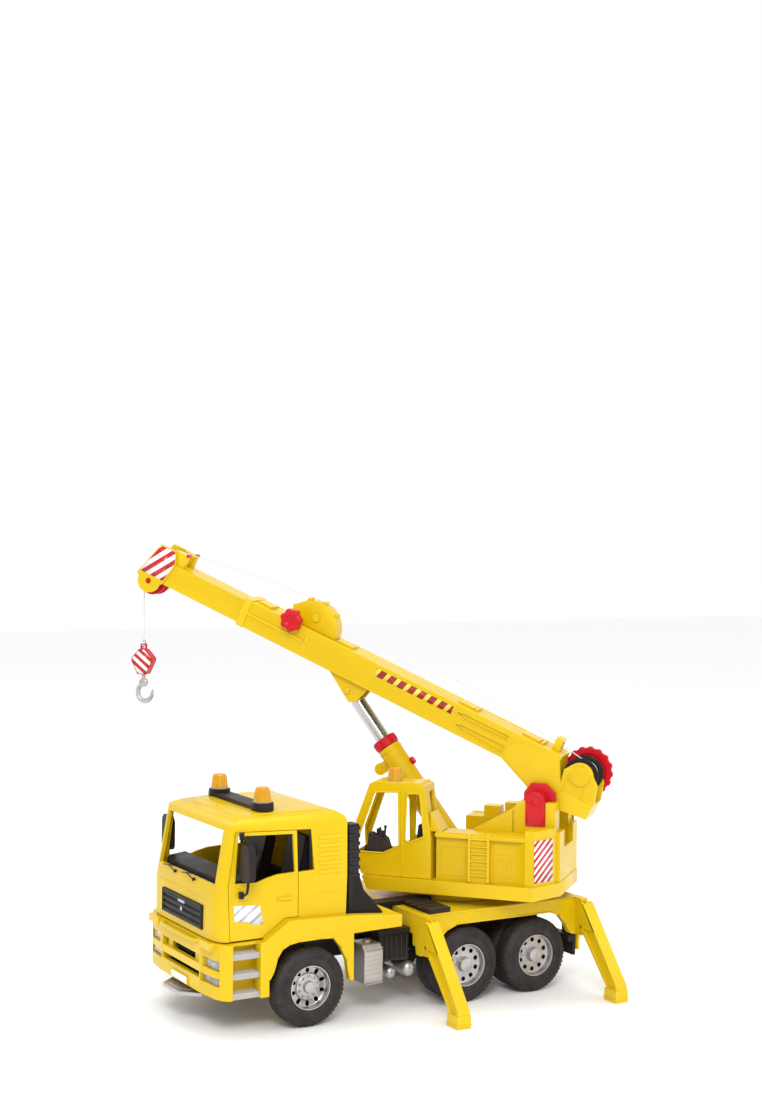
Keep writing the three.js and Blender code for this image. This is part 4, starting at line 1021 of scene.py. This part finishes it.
def winch_details():
    spool = [(0, -21.4), (2.9, -21.4), (2.9, -14.8), (18.6, -14.8), (19, -14.4), (19, -13),
             (18.4, -12.6), (12.4, -12.3), (12.4, 12.3), (18.4, 12.6), (19, 13), (19, 14.4),
             (18.6, 14.8), (2.9, 14.8), (2.9, 18.8), (0, 18.8)]
    drum = Solid().turn(spool, "y", *DRUM, 96)
    for x, z in ring_of(6, 15.6):
        drum.rod("y", 14.5, 15.5, DRUM[0] + x, DRUM[1] + z, 1.1, 12)
    built("winch_spool", drum, BOOM, "winch", BLACK, 0.25, ("winch_drum",))
    turns, steps, winding_r, half = 17, 24, 13.15, 10.8
    points = []
    for i in range(turns * steps + 1):
        a = math.tau * i / steps
        y = -half + 2 * half * i / (turns * steps)
        points.append((DRUM[0] + winding_r * math.cos(a), y, DRUM[1] + winding_r * math.sin(a)))
    built("winch_winding", Solid().tube(points, 0.62, 8), BOOM, "winch", CORD, 0)

    def toothed(radius, h, step):
        """Square teeth round the handwheel's rim."""
        return radius + (1.5 if radius > 24 and step % 8 < 4 else 0)

    rim = [(0, -22.2), (6.8, -22.2), (7.2, -23.6), (19, -23.8), (19.6, -22.4), (25, -22.4),
           (25.7, -23.2), (25.7, -26.8), (25, -27.5), (20.8, -27.5), (20, -26.9), (19.4, -25.6),
           (9, -25.4), (8, -27.4), (6.8, -27.9), (0, -27.9)]
    wheel = Solid().turn(rim, "y", *DRUM, 128, toothed)
    for x, z in ring_of(6, 14):
        wheel.rod("y", -27, -25, DRUM[0] + x, DRUM[1] + z, 2.3, 16)
    built("winch_wheel", wheel, BOOM, "winch", RED, 0.2, ("winch_handwheel",))

    def lobed(radius, h, step):
        """The star knob's seven soft lobes."""
        return radius * (1 + 0.085 * math.cos(7 * math.tau * step / 140)) if radius > 8 else radius

    star = [(0, -4.8), (2.3, -4.8), (2.3, 22.4), (9, 22.4), (11.4, 23), (12.3, 24.4), (12.4, 29.8),
            (11.6, 31.4), (9.4, 32.2), (6.2, 32.4), (5.6, 31.4), (2.4, 31), (0, 31)]
    knob = Solid().turn(star, "y", *KNOB, 140, lobed)
    built("extension_star", knob, BOOM, "extension_knob", RED, 0, ("extension_knob",))

    grooved = [(0, -18), (2.9, -18), (2.9, -7.5), (15.9, -7.5), (16.5, -7), (16.4, -5.8), (13, -2.4),
               (12.5, 0), (13, 2.4), (16.4, 5.8), (16.5, 7), (15.9, 7.5), (2.9, 7.5), (2.9, 18), (0, 18)]
    sheave = Solid().turn(grooved, "y", *SHEAVE, 96)
    built("head_wheel", sheave, BOOM, "head_sheave", RED, 0.2, ("head_sheave",))


boom_details()
winch_details()


# ---- ram ----
def ram_details():
    wall = [(9.25, 17.5), (9.25, 136.6), (9.8, 137), (12.6, 137), (13.2, 136.4), (13.2, 14), (12.4, 13),
            (9.25, 13)]
    barrel = Solid().closed_turn(wall, "z", 0, 0, 96)
    barrel.rod("y", -12, 12, 0, 0, 9.5, 48).block(-9, 9, -12, 12, 0, 17)
    barrel.rod("y", -7, 7, 20.6, 121.8, 6.7, 40).block(12, 20, -5, 5, 116, 127)
    barrel.closed_turn([(13, 131.4), (13.9, 131.6), (13.9, 133), (13, 133.2)], "z", 0, 0, 96)
    for side in (-1, 1):
        barrel.rod("y", *flank(7.6, 7.752, side), 20.6, 121.8, 3, 24)
    built("ram_barrel", barrel, RAM, "ram_tube", YELLOW, 0.3, ("cylinder_tube",))
    nut = [(9.1, 137.3), (9.1, 148), (12.9, 148), (13.6, 147.2), (13.6, 145.4), (13.1, 145),
           (13.1, 140.2), (13.6, 139.8), (13.6, 137.9), (13, 137.3)]
    collar = Solid().closed_turn(nut, "z", 0, 0, 96)
    for x, y in ring_of(14, 13.2):
        collar.rod("z", 139.4, 146, x, y, 0.9, 10)
    built("ram_collar", collar, RAM, "ram_tube", RED, 0.2, ("cylinder_collar",))
    rod = Solid().turn([(0, 44), (8.3, 44), (8.3, 199.4), (7.7, 200), (0, 200)], "z", 0, 0, 96)
    rod.block(-5, 5, -5.4, 5.4, 196, 213).rod("y", -5.4, 5.4, 0, 214, 6.2, 40)
    built("ram_rod", rod, RAM, "piston_rod", STEEL, 0.3, ("piston_rod",))
    groove = arc(0, 0, 8.5, 118, 146, 8) + arc(0, 0, 8, 146, 118, 8)
    built("ram_slot", Solid().prism(groove, "z", 60, 197), RAM, "piston_rod", BLACK, 0)
    rack = Solid()
    for x, y in arc(0, 0, 8.45, 125, 139, 1):
        rack.rod("z", 60.5, 196.4, x, y, 0.28, 8, crown=0.1)
    built("ram_slot_lines", rack, RAM, "piston_rod", SILVER, 0)


ram_details()


# ---- hook tackle ----
def hook_details():
    ring = Solid()
    ring.tube([(HOOK_X, y, z) for y, z in arc(0, 356.6, 4, 0, 360, 40)], 0.7, 12)
    knot = [(0, 359.9), (1.3, 360), (1.5, 360.6), (1.2, 361.4), (0.6, 361.6), (0, 361.6)]
    ring.turn(knot, "z", HOOK_X, 0, 16)
    built("ring", ring, SUPER, "hoist", STEEL, 0, ("hook_ring",))
    shield = ((-3.4, 349.6), (3.4, 349.6), (12.6, 339.6), (12.6, 336.8), (5.5, 321.8), (-5.5, 321.8),
              (-12.6, 336.8), (-12.6, 339.6))
    for name, side in (("front", 1), ("back", -1)):
        foil = Solid().prism([(HOOK_X + x, z) for x, z in shield], "y", *flank(5.4, 5.75, side))
        built(f"hook_foil_{name}", foil, SUPER, "hook_block", HAZARD_BLOCK, 0)
    hook = Solid()
    bend = ((0, 320.6), (0, 316), (0.4, 311), (3.2, 308.4), (6.2, 304), (7.1, 298.6), (5.4, 293.2),
            (1.4, 289.9), (-3.2, 289.4), (-7.8, 291.6), (-10.8, 296), (-11.6, 300), (-11.9, 303))
    route = [(HOOK_X + x, 0, z) for x, z in bend]

    def girth(share):
        """A round shank, thicker round the bend and drawn to a point."""
        if share < 0.2:
            return 2.4
        return 2.4 + 0.5 * math.sin(math.pi * (share - 0.2) / 0.8) - 1.5 * max(0, share - 0.72) / 0.28

    hook.tube(smooth_path(route, 8), girth, 20)
    hook.turn([(0, -2.6), (4.4, -2.6), (5, -2), (5, 2), (4.4, 2.6), (0, 2.6)], "y", HOOK_X, 311, 48)
    rivet = ((0, 2.4), (2, 2.4), (2.2, 3), (1.6, 3.4), (0, 3.5))
    for side in (1, -1):
        hook.turn([(r, y * side) for r, y in rivet], "y", HOOK_X, 311, 24)
    built("hook_casting", hook, SUPER, "hook", SILVER, 0, ("hook",))


hook_details()


# ---- floor and light ----
FLOOR_REACH = 6  # metres
LIGHTS = (  # name, place in metres, size in metres, watts
    ("key", (1.1, 1.9, 1.7), (0.7, 0.7), 28),
    ("fill", (-1.9, 1.5, 1.1), (1.2, 1.2), 6),
    ("top", (-0.2, -0.5, 2.4), (1.2, 1.2), 16),
)


def area_light(name, place, target, size, power):
    data = bpy.data.lights.new(name, "AREA")
    data.shape = "RECTANGLE"
    data.size, data.size_y = size
    data.energy = power
    lamp = linked(name, data)
    lamp.location = place
    lamp.rotation_euler = (Vector(target) - Vector(place)).to_track_quat("-Z", "Y").to_euler()


def studio():
    sheet = bpy.data.meshes.new("floor")
    corners = [(x * FLOOR_REACH, y * FLOOR_REACH, 0) for x, y in ((-1, -1), (1, -1), (1, 1), (-1, 1))]
    sheet.from_pydata(corners, [], [(0, 1, 2, 3)])
    floor = linked("floor", sheet)
    pale, _, surface = shader("pale_floor", 0.8)
    surface.inputs["Base Color"].default_value = (0.95, 0.95, 0.95, 1)
    sheet.materials.append(pale)
    world = bpy.data.worlds.new("studio")
    world.use_nodes = True
    background = world.node_tree.nodes["Background"]
    background.inputs["Color"].default_value = (1, 1, 1, 1)
    background.inputs["Strength"].default_value = 1.0
    bpy.context.scene.world = world
    for name, place, size, power in LIGHTS:
        area_light(name, place, (0, 0, 0.2), size, power)
    bpy.context.scene.view_settings.view_transform = "Standard"


studio()

bpy.context.view_layer.update()
